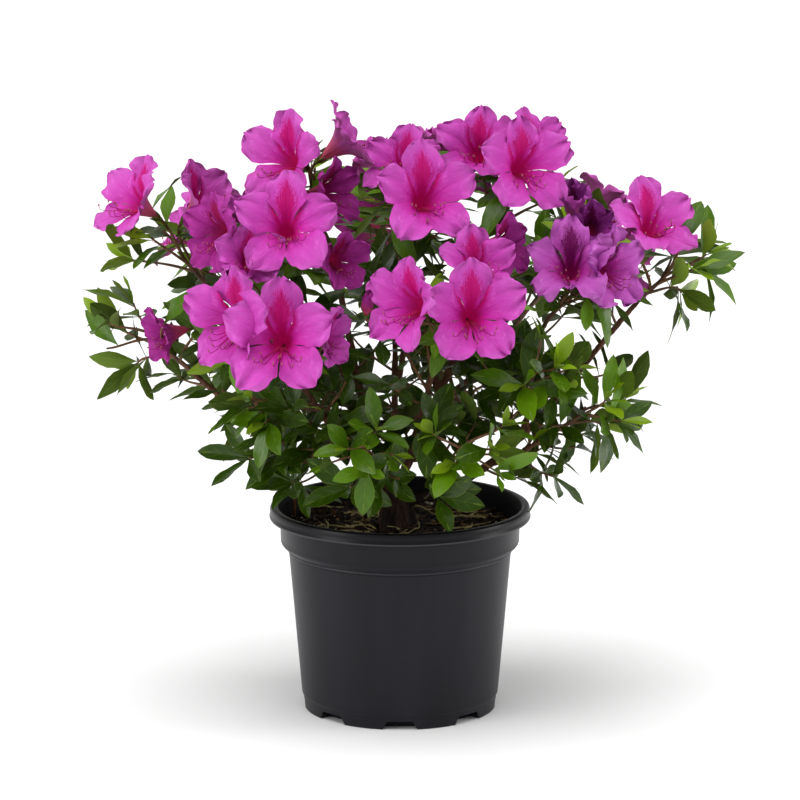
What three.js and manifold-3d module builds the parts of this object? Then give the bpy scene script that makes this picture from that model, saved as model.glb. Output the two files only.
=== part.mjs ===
// Azalea shrub in its nursery pot.
// Millimetres, +Z up, the plant's front towards -Y, origin at the centre of the pot's flat underside.
import * as THREE from 'three';
import { mergeVertices } from 'three/addons/utils/BufferGeometryUtils.js';
import Module from 'manifold-3d';

const wasm = await Module();
wasm.setup();

// Driving dimensions
const clearance = 0.3; // between pieces that touch
const goldenAngle = Math.PI * (3 - Math.sqrt(5));
const up = new THREE.Vector3(0, 0, 1);

const pot = {
  height: 170,
  rimRadius: 107.5,
  footRadius: 79.2,
  footLedge: 2, // how far the wall stands out over the foot
  shoulderRadius: 91.5,
  shoulderHeight: 131,
  bandRadius: 99.5,
  bandHeight: 139,
  wallThickness: 1.8,
  floorThickness: 2.4,
  segments: 40,
  notchCount: 8,
  notchHeight: 7,
  notchFootWidth: 31,
  notchTopWidth: 21,
};

const soil = { level: 152, flatRadius: 34, roughness: 2.6, segments: 24 };

const trunk = {
  foot: [-3, -4],
  fork: [-6, -6, 186],
  bend: 2,
  footRadius: 13,
  forkRadius: 10.5,
  crest: 0.72, // how far the fork's top edge is rounded in
  flare: 0.26, // how much wider the roots spread at the soil
  flareHeight: 9,
  lobes: 0.08, // depth of the ridges up the trunk
  sides: 14,
  steps: 6,
};

const limb = { baseRadius: 4.6, tipRadius: 2.6, sides: 6, steps: 5 };
const stem = { baseRadius: 2.8, tipRadius: 2.4, sides: 3, steps: 2, firstFork: 0.12, forkPull: 2.4 };
const bend = { leaving: 0.36, arriving: 0.34 }; // how far along a limb or twig each end's direction holds

// Shoots spread round a mass's heart, more of them outwards and upwards
const shoot = {
  baseRadius: 1.5,
  tipRadius: 1.1,
  whorlHeight: 3,
  leavesPerWhorl: 3,
  whorlTurn: THREE.MathUtils.degToRad(35), // from one whorl of leaves to the next
  bloomWhorl: 0.55, // share of a flowering twig where its leaves stand
  outward: 0.7,
  upward: 0.35,
  flattening: new THREE.Vector3(1, 1, 0.9),
  nearest: 0.6, // shares of the mass's reach
  farthest: 0.9,
};

const leaf = {
  length: 46,
  lengthSpread: 10,
  widthPerLength: 0.39,
  broadestShare: 0.46,
  thickness: 0.9,
  youngShorter: 8, // at the tip of a shoot
  lowSpread: 82, // degrees from the shoot, low on it
  topSpread: 38,
  spreadJitter: 12,
  turnJitter: 0.2,
  droop: 0.2,
  uprightFace: 0.5,
  keepClear: 2.8, // from limbs that are not its own
  room: 4, // from leaves of other shoots
  spaceMargin: 0.8, // from the edge of the mass's own space
  whorlsPerShoot: 2,
  whorlsPerBloom: 1,
};

const bloom = {
  throatDepth: 17, // from the foot of the tube to where it opens
  throatRadius: 6.5,
  petals: 5,
  openRadius: 42,
  openDepth: 36,
  closedRadius: 3,
  closedDepth: 48,
  notchShare: 0.5, // how far out the cuts between petals begin
  notchDepth: 0.62, // and how far forward
  shoulderAngle: 21, // degrees either side of a petal's middle
  wallThickness: 1.2,
  pitShare: 0.4, // depth of the tube's hollow
  siteShare: 0.8, // where along its depth it claims space for its mass
  view: 40, // kept free of leaves in front of its face
};

// Blooms that the rule sets by itself
const wildBloom = {
  lean: 0.45, // away from its mass's outward way
  leanSpread: 0.4,
  open: 0.65,
  openSpread: 0.35,
  size: 0.9,
  sizeSpread: 0.15,
  out: 0.62, // share of the mass's reach where its tube begins
};

// Each bough leaves the trunk, or another bough, at a share of its length and ends where a mass begins:
// name, what it leaves, share, tip, its rise in degrees at either end, girth
const boughs = [
  ['bough_left', 'trunk', 0.8, [-172, -12, 286], 22, 44, 1],
  ['bough_right', 'trunk', 0.7, [194, 0, 340], 8, 48, 1],
  ['bough_back', 'trunk', 0.8, [-4, 88, 312], 40, 62, 1],
  ['bough_front_left', 'trunk', 0.9, [-84, -80, 296], 38, 52, 0.95],
  ['bough_front', 'trunk', 0.95, [28, -80, 306], 46, 62, 0.95],
  ['bough_top_left', 'trunk', 1, [-58, 4, 384], 66, 74, 1],
  ['bough_top_right', 'trunk', 1, [72, -4, 374], 62, 72, 1],
  ['bough_left_upper', 'bough_left', 0.5, [-152, 10, 342], 46, 60, 0.8],
  ['bough_upper_left', 'bough_top_left', 0.4, [-90, -32, 346], 50, 60, 0.8],
  ['bough_top_centre', 'bough_top_right', 0.42, [8, -22, 370], 74, 78, 0.8],
  ['bough_right_upper', 'bough_right', 0.45, [116, -38, 326], 50, 58, 0.8],
  ['bough_right_low', 'bough_right', 0.32, [126, -38, 240], 18, 34, 0.75],
  ['bough_low_left', 'bough_front_left', 0.35, [-24, -74, 226], 8, 16, 0.7],
  ['bough_low_right', 'bough_front', 0.3, [44, -76, 226], 8, 16, 0.7],
  ['bough_low_outer_left', 'bough_left', 0.3, [-80, -52, 250], 14, 30, 0.7],
  ['bough_low_outer_right', 'bough_right_upper', 0.3, [96, -60, 270], 18, 36, 0.65],
  ['bough_back_left', 'bough_back', 0.3, [-94, 70, 298], 36, 54, 0.85],
  ['bough_back_right', 'bough_back', 0.36, [92, 70, 300], 34, 54, 0.85],
  ['bough_back_top', 'bough_back', 0.6, [8, 62, 354], 70, 80, 0.75],
  ['bough_low_back', 'bough_back_right', 0.4, [52, 104, 240], 10, 20, 0.7],
  ['bough_low_side', 'bough_back_left', 0.4, [-92, 84, 236], 4, 20, 0.7],
].map(([name, on, share, tip, leave, arrive, girth]) => ({ name, on, share, tip, leave, arrive, girth }));

// A mass spreads from its heart by its reach. shoots end in leaves. A bloom's place is its throat,
// turn is the way it faces, in degrees from the front towards the right, tilt its rise and open how
// far its petals spread. Masses on the far side get their blooms by the rule, as many as wild says.
const masses = [
  {
    name: 'mass_left', bough: 'bough_left',
    heart: [-204, -14, 318], reach: [52, 50, 40], shoots: 6, wild: 0,
    blooms: [{ at: [-180, -38, 322], turn: -66, tilt: -8, open: 0.5, size: 0.8 }],
  },
  {
    name: 'mass_left_upper', bough: 'bough_left_upper',
    heart: [-180, 4, 384], reach: [48, 54, 48], shoots: 4, wild: 0,
    blooms: [
      { at: [-207, -10, 418], turn: -54, tilt: 34, open: 0.72, size: 1.03 },
      { at: [-166, -2, 416], turn: 58, tilt: 42, open: 0.6, size: 1 },
    ],
  },
  {
    name: 'mass_front_left', bough: 'bough_front_left',
    heart: [-106, -104, 330], reach: [58, 36, 40], shoots: 3, wild: 0,
    blooms: [
      { at: [-123, -112, 345], turn: -38, tilt: 6, open: 0.9, size: 1.08 },
      { at: [-93, -128, 331], turn: -5, tilt: 20, open: 1, size: 1.12 },
      { at: [-66, -100, 332], turn: 62, tilt: -6, open: 0.5, size: 0.8 },
    ],
  },
  {
    name: 'mass_upper_left', bough: 'bough_upper_left',
    heart: [-108, -58, 386], reach: [52, 42, 40], shoots: 2, wild: 0,
    blooms: [
      { at: [-138, -56, 406], turn: -48, tilt: 4, open: 0.75, size: 0.9 },
      { at: [-90, -84, 411], turn: 0, tilt: 29, open: 1, size: 1.02 },
      { at: [-119, -88, 385], turn: 4, tilt: 40, open: 0.65, size: 0.85 },
      { at: [-118, -50, 412], turn: -60, tilt: 48, open: 0.1, size: 0.85 },
      { at: [-54, -74, 387], turn: 40, tilt: 2, open: 0.6, size: 0.76 },
    ],
  },
  {
    name: 'mass_top_left', bough: 'bough_top_left',
    heart: [-72, -2, 436], reach: [50, 48, 48], shoots: 3, wild: 0,
    blooms: [
      { at: [-86, -22, 456], turn: -40, tilt: 20, open: 0.95, size: 1 },
      { at: [-54, 0, 464], turn: 84, tilt: 36, open: 0.65, size: 0.95 },
      { at: [-66, -30, 434], turn: 58, tilt: 10, open: 0.6, size: 0.88 },
    ],
  },
  {
    name: 'mass_front', bough: 'bough_front',
    heart: [36, -104, 346], reach: [54, 36, 44], shoots: 3, wild: 0,
    blooms: [
      { at: [16, -132, 360], turn: -46, tilt: 14, open: 0.75, size: 1.06 },
      { at: [55, -138, 353], turn: 8, tilt: 17, open: 1, size: 1.03 },
      { at: [58, -98, 381], turn: 16, tilt: 38, open: 0.7, size: 0.9 },
      { at: [-26, -112, 356], turn: 8, tilt: 46, open: 0, size: 0.7 },
    ],
  },
  {
    name: 'mass_top_centre', bough: 'bough_top_centre',
    heart: [2, -34, 420], reach: [46, 42, 44], shoots: 5, wild: 0,
    blooms: [
      { at: [17, -60, 430], turn: 14, tilt: 28, open: 1, size: 1.05 },
      { at: [4, -12, 448], turn: -24, tilt: 44, open: 0.75, size: 0.92 },
    ],
  },
  {
    name: 'mass_top_right', bough: 'bough_top_right',
    heart: [90, -14, 430], reach: [50, 50, 50], shoots: 3, wild: 0,
    blooms: [
      { at: [64, -2, 458], turn: -8, tilt: 42, open: 0.85, size: 0.95 },
      { at: [95, -32, 453], turn: 22, tilt: 22, open: 1, size: 1 },
      { at: [106, 14, 460], turn: 34, tilt: 52, open: 0.65, size: 0.85 },
      { at: [73, -62, 397], turn: 58, tilt: 4, open: 0.5, size: 0.85 },
    ],
  },
  {
    name: 'mass_right', bough: 'bough_right_upper',
    heart: [146, -46, 366], reach: [46, 44, 42], shoots: 3, wild: 0,
    blooms: [
      { at: [136, -66, 374], turn: -4, tilt: 42, open: 0.95, size: 0.95 },
      { at: [160, -56, 377], turn: 44, tilt: 4, open: 0.7, size: 0.95 },
      { at: [138, -30, 419], turn: 0, tilt: 58, open: 0.12, size: 0.8 },
      { at: [153, -22, 401], turn: 16, tilt: 36, open: 0.3, size: 0.75 },
    ],
  },
  {
    name: 'mass_right_tip', bough: 'bough_right',
    heart: [222, 4, 370], reach: [48, 58, 34], shoots: 6, wild: 0,
    blooms: [{ at: [201, -8, 396], turn: 28, tilt: 50, open: 0.8, size: 1.02 }],
  },
  {
    name: 'mass_right_low', bough: 'bough_right_low',
    heart: [150, -44, 261], reach: [44, 46, 34], shoots: 5, wild: 0,
    blooms: [],
  },
  {
    name: 'mass_low_left', bough: 'bough_low_left',
    heart: [-28, -106, 248], reach: [46, 30, 38], shoots: 6, wild: 0,
    blooms: [],
  },
  {
    name: 'mass_low_right', bough: 'bough_low_right',
    heart: [54, -110, 248], reach: [46, 30, 38], shoots: 6, wild: 0,
    blooms: [],
  },
  {
    name: 'mass_low_outer_left', bough: 'bough_low_outer_left',
    heart: [-94, -80, 276], reach: [44, 34, 30],
    shoots: 5, wild: 0, blooms: [],
  },
  {
    name: 'mass_low_outer_right', bough: 'bough_low_outer_right',
    heart: [108, -84, 300], reach: [42, 34, 34],
    shoots: 5, wild: 0, blooms: [],
  },
  {
    name: 'mass_back_left', bough: 'bough_back_left',
    heart: [-124, 92, 350], reach: [60, 60, 52], shoots: 6, wild: 2,
    blooms: [],
  },
  {
    name: 'mass_back', bough: 'bough_back',
    heart: [-2, 124, 366], reach: [52, 54, 54], shoots: 6, wild: 3,
    blooms: [],
  },
  {
    name: 'mass_back_right', bough: 'bough_back_right',
    heart: [128, 90, 352], reach: [60, 60, 52], shoots: 5, wild: 3,
    blooms: [],
  },
  {
    name: 'mass_back_top', bough: 'bough_back_top',
    heart: [10, 66, 400], reach: [54, 46, 38], shoots: 4, wild: 3,
    blooms: [],
  },
  {
    name: 'mass_low_back', bough: 'bough_low_back',
    heart: [60, 136, 264], reach: [50, 34, 36], shoots: 5, wild: 0,
    blooms: [],
  },
  {
    name: 'mass_low_side', bough: 'bough_low_side',
    heart: [-110, 112, 262], reach: [50, 40, 36], shoots: 5, wild: 0,
    blooms: [],
  },
];

const sucker = { name: 'sucker', foot: [-88, 32], top: [-86, 24, 188], turn: 1, seed: 3 };

const crownHeart = new THREE.Vector3(0, 0, 300);
const crown = { left: -258, right: 277, front: -182, back: 192, top: 512 };

// Colours
const paint = (color, roughness) => new THREE.MeshStandardMaterial({ color, roughness, metalness: 0 });
const potPlastic = paint(0x24262a, 0.45);
const pottingMix = paint(0x2c211a, 0.95);
const bark = paint(0x4a3226, 0.85);
const foliage = paint(0x2f5a22, 0.5);

// A repeatable random number from 0 to 1
function chance(seed, draw) {
  const wave = Math.sin(seed * 12.9898 + draw * 78.233) * 43758.5453;
  return wave - Math.floor(wave);
}

function vector(place) {
  return new THREE.Vector3(place[0], place[1], place[2]);
}

function solidFrom(geometry) {
  geometry.deleteAttribute('normal');
  geometry.deleteAttribute('uv');
  const shared = mergeVertices(geometry, 1e-4);
  return new wasm.Manifold(new wasm.Mesh({
    numProp: 3,
    vertProperties: new Float32Array(shared.attributes.position.array),
    triVerts: new Uint32Array(shared.index.array),
  }));
}

// The largest piece of a solid, without scraps or sealed hollows
function mainPiece(solid) {
  return solid.decompose().reduce((best, piece) => (piece.volume() > best.volume() ? piece : best));
}

function meshFrom(name, solid, material) {
  const { vertProperties, triVerts } = solid.getMesh();
  const geometry = new THREE.BufferGeometry();
  geometry.setAttribute('position', new THREE.BufferAttribute(vertProperties, 3));
  geometry.setIndex(new THREE.BufferAttribute(triVerts, 1));
  geometry.computeVertexNormals();
  const mesh = new THREE.Mesh(geometry, material);
  mesh.name = name;
  return mesh;
}

// Pot

function rimArc(centre, radius, from, to, steps) {
  return Array.from({ length: steps + 1 }, (_, step) => {
    const angle = THREE.MathUtils.degToRad(from + ((to - from) * step) / steps);
    return [centre[0] + radius * Math.cos(angle), centre[1] + radius * Math.sin(angle)];
  });
}

function makePot() {
  const { height, rimRadius, footRadius, footLedge, wallThickness, floorThickness } = pot;
  const { shoulderRadius, shoulderHeight, bandRadius, bandHeight } = pot;
  const outside = [
    [footRadius, 0],
    [footRadius + 0.8, 11],
    [footRadius + footLedge, 13.5],
    [shoulderRadius, shoulderHeight],
    [bandRadius - 2, bandHeight],
    [bandRadius, height - 11],
    [rimRadius - 1.2, height - 9.5],
    ...rimArc([rimRadius - 3.2, height - 3.2], 3.2, 0, 90, 3),
  ];
  const inside = [
    [rimRadius - 6.2, height],
    [rimRadius - 7.6, height - 1.4],
    [bandRadius - wallThickness, height - 12],
    [bandRadius - 2 - wallThickness, bandHeight + 1],
    [shoulderRadius - wallThickness, shoulderHeight + 1],
    [footRadius + footLedge - wallThickness, 15],
    [footRadius - 1.2, floorThickness],
  ];
  const profile = [[0, 0], ...outside, ...inside, [0, floorThickness]];
  const turned = new THREE.LatheGeometry(profile.map(([r, z]) => new THREE.Vector2(r, z)), pot.segments);
  turned.rotateX(Math.PI / 2);
  let solid = solidFrom(turned);

  const { notchCount, notchHeight, notchFootWidth, notchTopWidth } = pot;
  const outline = new THREE.Shape([
    new THREE.Vector2(-notchFootWidth / 2, -1),
    new THREE.Vector2(notchFootWidth / 2, -1),
    new THREE.Vector2(notchTopWidth / 2, notchHeight),
    new THREE.Vector2(-notchTopWidth / 2, notchHeight),
  ]);
  const notchReach = 12;
  for (let index = 0; index < notchCount; index += 1) {
    const notch = new THREE.ExtrudeGeometry(outline, { depth: 2 * notchReach, bevelEnabled: false });
    notch.rotateX(Math.PI / 2);
    notch.translate(0, -footRadius + notchReach, 0);
    notch.rotateZ((2 * Math.PI * index) / notchCount);
    solid = solid.subtract(solidFrom(notch));
  }
  return meshFrom('pot', mainPiece(solid), potPlastic);
}

// Soil

function soilHeight(x, y) {
  const away = Math.max(0, Math.hypot(x, y) - soil.flatRadius);
  const fade = Math.min(1, away / 16);
  const bumps = Math.sin(x * 0.11 + 0.6) * Math.cos(y * 0.13) + 0.5 * Math.sin(x * 0.05 - y * 0.21);
  return soil.level + fade * soil.roughness * bumps;
}

function soilSolid() {
  const facetSag = 0.7; // how far a flat facet lies inside the round wall
  const insetWall = pot.wallThickness + clearance + facetSag;
  const floorLevel = pot.floorThickness + clearance;
  const topRadius = pot.bandRadius - insetWall - 0.6;
  const profile = [
    [0, floorLevel],
    [pot.footRadius - 4, floorLevel],
    [pot.footRadius + pot.footLedge - insetWall - 0.6, 15],
    [pot.shoulderRadius - insetWall, pot.shoulderHeight],
    [topRadius - 2, pot.bandHeight + 2],
    [topRadius, soil.level],
    [82, soil.level],
    [68, soil.level],
    [52, soil.level],
    [soil.flatRadius, soil.level],
    [0, soil.level],
  ];
  const turned = new THREE.LatheGeometry(profile.map(([r, z]) => new THREE.Vector2(r, z)), soil.segments);
  turned.rotateX(Math.PI / 2);
  const place = turned.attributes.position;
  for (let index = 0; index < place.count; index += 1) {
    if (place.getZ(index) > soil.level - 1) {
      place.setZ(index, soilHeight(place.getX(index), place.getY(index)));
    }
  }
  return solidFrom(turned);
}

// Trunk and limbs

// A round bar bent along a curve, its radius given by a function of the share of its length
function bentBar(curve, radiusAt, sides, steps) {
  const bar = new THREE.CylinderGeometry(1, 1, 1, sides, steps);
  const frames = curve.computeFrenetFrames(steps, false);
  const place = bar.attributes.position;
  for (let index = 0; index < place.count; index += 1) {
    const share = place.getY(index) + 0.5;
    const step = Math.round(share * steps);
    const angle = Math.atan2(place.getX(index), place.getZ(index));
    const isRim = Math.hypot(place.getX(index), place.getZ(index)) > 0.5;
    const radius = isRim ? radiusAt(share, angle) : 0;
    const point = curve.getPoint(step / steps)
      .addScaledVector(frames.normals[step], radius * Math.cos(angle))
      .addScaledVector(frames.binormals[step], radius * Math.sin(angle));
    place.setXYZ(index, point.x, point.y, point.z);
  }
  return outwardSolid(bar);
}

// A solid whose faces point out, whichever way round its corners were listed
function outwardSolid(geometry) {
  const solid = solidFrom(geometry);
  if (solid.volume() > 0) {
    return solid;
  }
  const index = geometry.index.array;
  for (let corner = 0; corner < index.length; corner += 3) {
    [index[corner], index[corner + 1]] = [index[corner + 1], index[corner]];
  }
  return solidFrom(geometry);
}

function trunkCurve() {
  const foot = new THREE.Vector3(trunk.foot[0], trunk.foot[1], soil.level + clearance);
  const fork = vector(trunk.fork);
  const middle = foot.clone().lerp(fork, 0.5).add(new THREE.Vector3(trunk.bend, 0, 0));
  return new THREE.QuadraticBezierCurve3(foot, middle, fork);
}

function trunkRadius(share, angle) {
  const height = share * (trunk.fork[2] - soil.level);
  const flare = trunk.flare * Math.exp(-height / trunk.flareHeight);
  const ridges = (trunk.lobes + flare / 3) * Math.cos(4 * angle + 0.8);
  const twist = (trunk.lobes / 2) * Math.sin(3 * angle);
  const taper = THREE.MathUtils.lerp(trunk.footRadius, trunk.forkRadius, share);
  return taper * (1 + flare) * (1 + ridges + twist) * (share === 1 ? trunk.crest : 1);
}

// The trunk's foot is a flat cut at the soil's level
function trunkSolid(extra) {
  const radiusAt = (share, angle) => trunkRadius(share, angle) + extra;
  const solid = bentBar(trunkCurve(), radiusAt, trunk.sides, trunk.steps);
  const slab = new THREE.BoxGeometry(120, 120, 20);
  slab.translate(trunk.foot[0], trunk.foot[1], soil.level + clearance - 10);
  return solid.subtract(solidFrom(slab));
}

function rising(outward, degrees) {
  const angle = THREE.MathUtils.degToRad(degrees);
  const flat = new THREE.Vector3(outward.x, outward.y, 0).normalize();
  return flat.multiplyScalar(Math.cos(angle)).addScaledVector(up, Math.sin(angle));
}

function bentBetween(start, heading, end, arrival) {
  const span = start.distanceTo(end);
  const first = start.clone().addScaledVector(heading, bend.leaving * span);
  const second = end.clone().addScaledVector(arrival, -bend.arriving * span);
  return new THREE.CubicBezierCurve3(start, first, second, end);
}

function boughCurve(bough, start) {
  const tip = vector(bough.tip);
  const outward = tip.clone().sub(start);
  return bentBetween(start, rising(outward, bough.leave), tip, rising(outward, bough.arrive));
}

function layOutBoughs() {
  const laid = {};
  for (const bough of boughs) {
    const carrier = bough.on === 'trunk' ? trunkCurve() : laid[bough.on].curve;
    const start = carrier.getPoint(bough.share);
    if (bough.on === 'trunk') {
      start.z -= limb.baseRadius;
    }
    laid[bough.name] = {
      curve: boughCurve(bough, start),
      radiusAt: (share) => bough.girth * THREE.MathUtils.lerp(limb.baseRadius, limb.tipRadius, share),
    };
  }
  return laid;
}

function boughSolid({ curve, radiusAt }, extra) {
  return bentBar(curve, (share) => radiusAt(share) + extra, limb.sides, limb.steps);
}

// Every later limb is cut clear of the trunk and of the limbs before it
function makeBoughs(laid) {
  const meshes = [];
  let standing = trunkSolid(clearance);
  for (const bough of boughs) {
    const free = boughSolid(laid[bough.name], 0).subtract(standing);
    meshes.push(meshFrom(bough.name, mainPiece(free), bark));
    standing = standing.add(boughSolid(laid[bough.name], clearance));
  }
  return meshes;
}

// Growth rule for the masses

function flattened(direction, axis) {
  return direction.clone().addScaledVector(axis, -direction.dot(axis)).normalize();
}

function facing(turn, tilt) {
  const around = THREE.MathUtils.degToRad(turn);
  const rise = THREE.MathUtils.degToRad(tilt);
  return new THREE.Vector3(
    Math.sin(around) * Math.cos(rise),
    -Math.cos(around) * Math.cos(rise),
    Math.sin(rise),
  );
}

function bloomShape(flower) {
  const { open, size } = flower;
  const reach = size * THREE.MathUtils.lerp(bloom.closedRadius, bloom.openRadius, Math.sqrt(open));
  const depth = size * THREE.MathUtils.lerp(bloom.closedDepth, bloom.openDepth, open);
  return { reach, depth };
}

// Rim points of a bloom: for each petal its two shoulders, then the notch beside it
function bloomRim(flower) {
  const { reach, depth } = bloomShape(flower);
  const side = new THREE.Vector3().crossVectors(flower.face, flower.lift);
  const throat = flower.size * bloom.throatDepth;
  const pitch = (2 * Math.PI) / bloom.petals;
  const shoulder = THREE.MathUtils.degToRad(bloom.shoulderAngle);
  const corners = [[-shoulder, 1, 1], [shoulder, 1, 1], [pitch / 2, bloom.notchShare, bloom.notchDepth]];
  const rim = [];
  for (let petal = 0; petal < bloom.petals; petal += 1) {
    for (const [offset, out, forward] of corners) {
      const angle = petal * pitch + offset;
      rim.push(flower.foot.clone()
        .addScaledVector(flower.face, throat + (depth - throat) * forward)
        .addScaledVector(flower.lift, reach * out * Math.cos(angle))
        .addScaledVector(side, reach * out * Math.sin(angle)));
    }
  }
  return rim;
}

// Points spread over a leaf, which stand for it in every test
function leafSamples(blade) {
  const side = new THREE.Vector3().crossVectors(blade.face, blade.along);
  const half = (blade.length * leaf.widthPerLength) / 2;
  const samples = [];
  for (const share of [0.25, 0.45, 0.7, 1]) {
    const width = half * Math.min(share / leaf.broadestShare, (1 - share) / (1 - leaf.broadestShare));
    const middle = blade.root.clone().addScaledVector(blade.along, blade.length * share);
    samples.push(middle.clone(), middle.clone().addScaledVector(side, width));
    samples.push(middle.clone().addScaledVector(side, -width));
  }
  return samples;
}

function distanceToLimb(point, line) {
  let nearest = Infinity;
  for (let step = 1; step < line.points.length; step += 1) {
    const from = line.points[step - 1];
    const along = line.points[step].clone().sub(from);
    const share = THREE.MathUtils.clamp(point.clone().sub(from).dot(along) / along.lengthSq(), 0, 1);
    const radius = THREE.MathUtils.lerp(line.radii[step - 1], line.radii[step], share);
    nearest = Math.min(nearest, point.distanceTo(from.clone().addScaledVector(along, share)) - radius);
  }
  return nearest;
}

function limbLines(laid) {
  const lines = {};
  for (const bough of boughs) {
    const { curve, radiusAt } = laid[bough.name];
    lines[bough.name] = {
      points: curve.getPoints(limb.steps),
      radii: Array.from({ length: limb.steps + 1 }, (_, step) => radiusAt(step / limb.steps)),
    };
  }
  return lines;
}

// A mass's space is all that lies nearer to its heart or to one of its blooms than to another mass's
function spaceSites(flowers) {
  const sites = [];
  masses.forEach((mass, owner) => {
    sites.push({ owner, point: vector(mass.heart) });
    for (const flower of flowers[owner]) {
      const forward = bloom.siteShare * bloomShape(flower).depth;
      sites.push({ owner, point: flower.foot.clone().addScaledVector(flower.face, forward) });
    }
  });
  return sites;
}

function insideSpace(point, owner, sites) {
  const isPastCrown = point.x < crown.left || point.x > crown.right || point.z > crown.top
    || point.y < crown.front || point.y > crown.back;
  if (isPastCrown) {
    return false;
  }
  let own = Infinity;
  let other = Infinity;
  for (const site of sites) {
    const away = site.point.distanceTo(point);
    if (site.owner === owner) {
      own = Math.min(own, away);
    } else {
      other = Math.min(other, away);
    }
  }
  return own + 2 * leaf.spaceMargin < other;
}

function clearOfPot(point, margin) {
  const away = Math.hypot(point.x, point.y);
  return point.z > pot.height + margin || (away > pot.rimRadius + margin && point.z > pot.height - 40);
}

function bloomFrom(spec) {
  const face = facing(spec.turn, spec.tilt);
  return {
    foot: vector(spec.at).addScaledVector(face, -spec.size * bloom.throatDepth),
    face,
    lift: flattened(up, face),
    open: spec.open,
    size: spec.size,
  };
}

// Blooms that the rule sets on a mass, on the side away from the plant's middle
function wildBlooms(mass, seed) {
  const heart = vector(mass.heart);
  const outward = heart.clone().sub(crownHeart).normalize();
  const side = flattened(new THREE.Vector3(0, 1, 0.2), outward);
  const across = new THREE.Vector3().crossVectors(outward, side);
  const flowers = [];
  for (let index = 0; index < mass.wild; index += 1) {
    const around = index * goldenAngle + seed + wildBloom.lean * chance(seed, 300 + index);
    const lean = wildBloom.lean + wildBloom.leanSpread * chance(seed, 320 + index);
    const face = outward.clone()
      .addScaledVector(side, lean * Math.cos(around))
      .addScaledVector(across, lean * Math.sin(around));
    face.z = Math.max(face.z, 0.1);
    face.normalize();
    const foot = vector(mass.reach).multiply(face).multiplyScalar(wildBloom.out).add(heart);
    foot.z = Math.min(foot.z, crown.top - bloom.closedDepth);
    flowers.push({
      foot,
      face,
      lift: flattened(up, face),
      open: wildBloom.open + wildBloom.openSpread * chance(seed, 340 + index),
      size: wildBloom.size + wildBloom.sizeSpread * chance(seed, 360 + index),
    });
  }
  return flowers;
}

// True where a leaf passes through a bloom or hides its face
function isThroughBloom(samples, flowers) {
  return flowers.some((flower) => {
    const { reach, depth } = bloomShape(flower);
    const throat = flower.size * bloom.throatDepth;
    return samples.some((point) => {
      const from = point.clone().sub(flower.foot);
      const forward = from.dot(flower.face);
      const out = from.addScaledVector(flower.face, -forward).length();
      const opened = THREE.MathUtils.clamp((forward - throat) / (depth - throat) + 0.3, 0, 1);
      return forward > throat * 0.6 && forward < depth + bloom.view && out < reach * opened;
    });
  });
}

// A shoot is a three-sided twig with whorls of three leaves, one leaf to each side
function shootBetween(start, heading, end) {
  const curve = bentBetween(start, heading, end.point, end.arrival);
  const height = shoot.whorlHeight / start.distanceTo(end.point);
  const firstWhorl = end.flower ? shoot.bloomWhorl : 1 - end.whorls * height;
  const edges = Array.from({ length: end.whorls + 1 }, (_, edge) => firstWhorl + edge * height);
  const shares = [0, ...edges, ...(end.flower ? [1] : [])];
  const reference = flattened(Math.abs(end.arrival.z) > 0.9 ? new THREE.Vector3(1, 0, 0) : up, end.arrival);
  const rings = shares.map((share, ring) => {
    const ahead = curve.getTangent(share);
    const first = flattened(reference, ahead);
    return {
      middle: curve.getPoint(share),
      ahead,
      first,
      second: new THREE.Vector3().crossVectors(ahead, first),
      angle: end.turn + THREE.MathUtils.clamp(ring - 1, 0, end.whorls) * shoot.whorlTurn,
      radius: THREE.MathUtils.lerp(shoot.baseRadius, shoot.tipRadius, share),
      whorl: ring - 1,
    };
  });
  return { rings, whorls: end.whorls, leaves: [], flower: end.flower };
}

function radialAt(ring, angle) {
  return ring.first.clone().multiplyScalar(Math.cos(angle)).addScaledVector(ring.second, Math.sin(angle));
}

function leafAt(twig, whorl, side, seed) {
  const ring = twig.rings[whorl + 1];
  const draw = whorl * shoot.leavesPerWhorl + side;
  const jitter = (column) => 2 * chance(seed, draw + column) - 1;
  const sideMiddle = shoot.whorlTurn / 2 + Math.PI / 3 + (2 * Math.PI * side) / 3;
  const radial = radialAt(ring, ring.angle + sideMiddle + leaf.turnJitter * jitter(20));
  const rank = (whorl + 0.5) / twig.whorls;
  const lean = THREE.MathUtils.lerp(leaf.lowSpread, leaf.topSpread, rank) + leaf.spreadJitter * jitter(40);
  const spread = THREE.MathUtils.degToRad(lean);
  const along = ring.ahead.clone().multiplyScalar(Math.cos(spread))
    .addScaledVector(radial, Math.sin(spread))
    .addScaledVector(up, -leaf.droop * (0.4 + chance(seed, draw + 60)))
    .normalize();
  return {
    root: ring.middle.clone().addScaledVector(ring.ahead, shoot.whorlHeight / 2),
    along,
    face: flattened(ring.ahead.clone().addScaledVector(up, leaf.uprightFace), along),
    length: leaf.length + leaf.lengthSpread * jitter(80) - leaf.youngShorter * rank,
  };
}

// The leaves of a shoot, whorl by whorl; one that fails its test leaves its place empty
function leafOut(twig, seed, isKept) {
  for (let whorl = 0; whorl < twig.whorls; whorl += 1) {
    for (let side = 0; side < shoot.leavesPerWhorl; side += 1) {
      const blade = leafAt(twig, whorl, side, seed);
      twig.leaves.push(isKept(leafSamples(blade)) ? blade : null);
    }
  }
}

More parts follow.
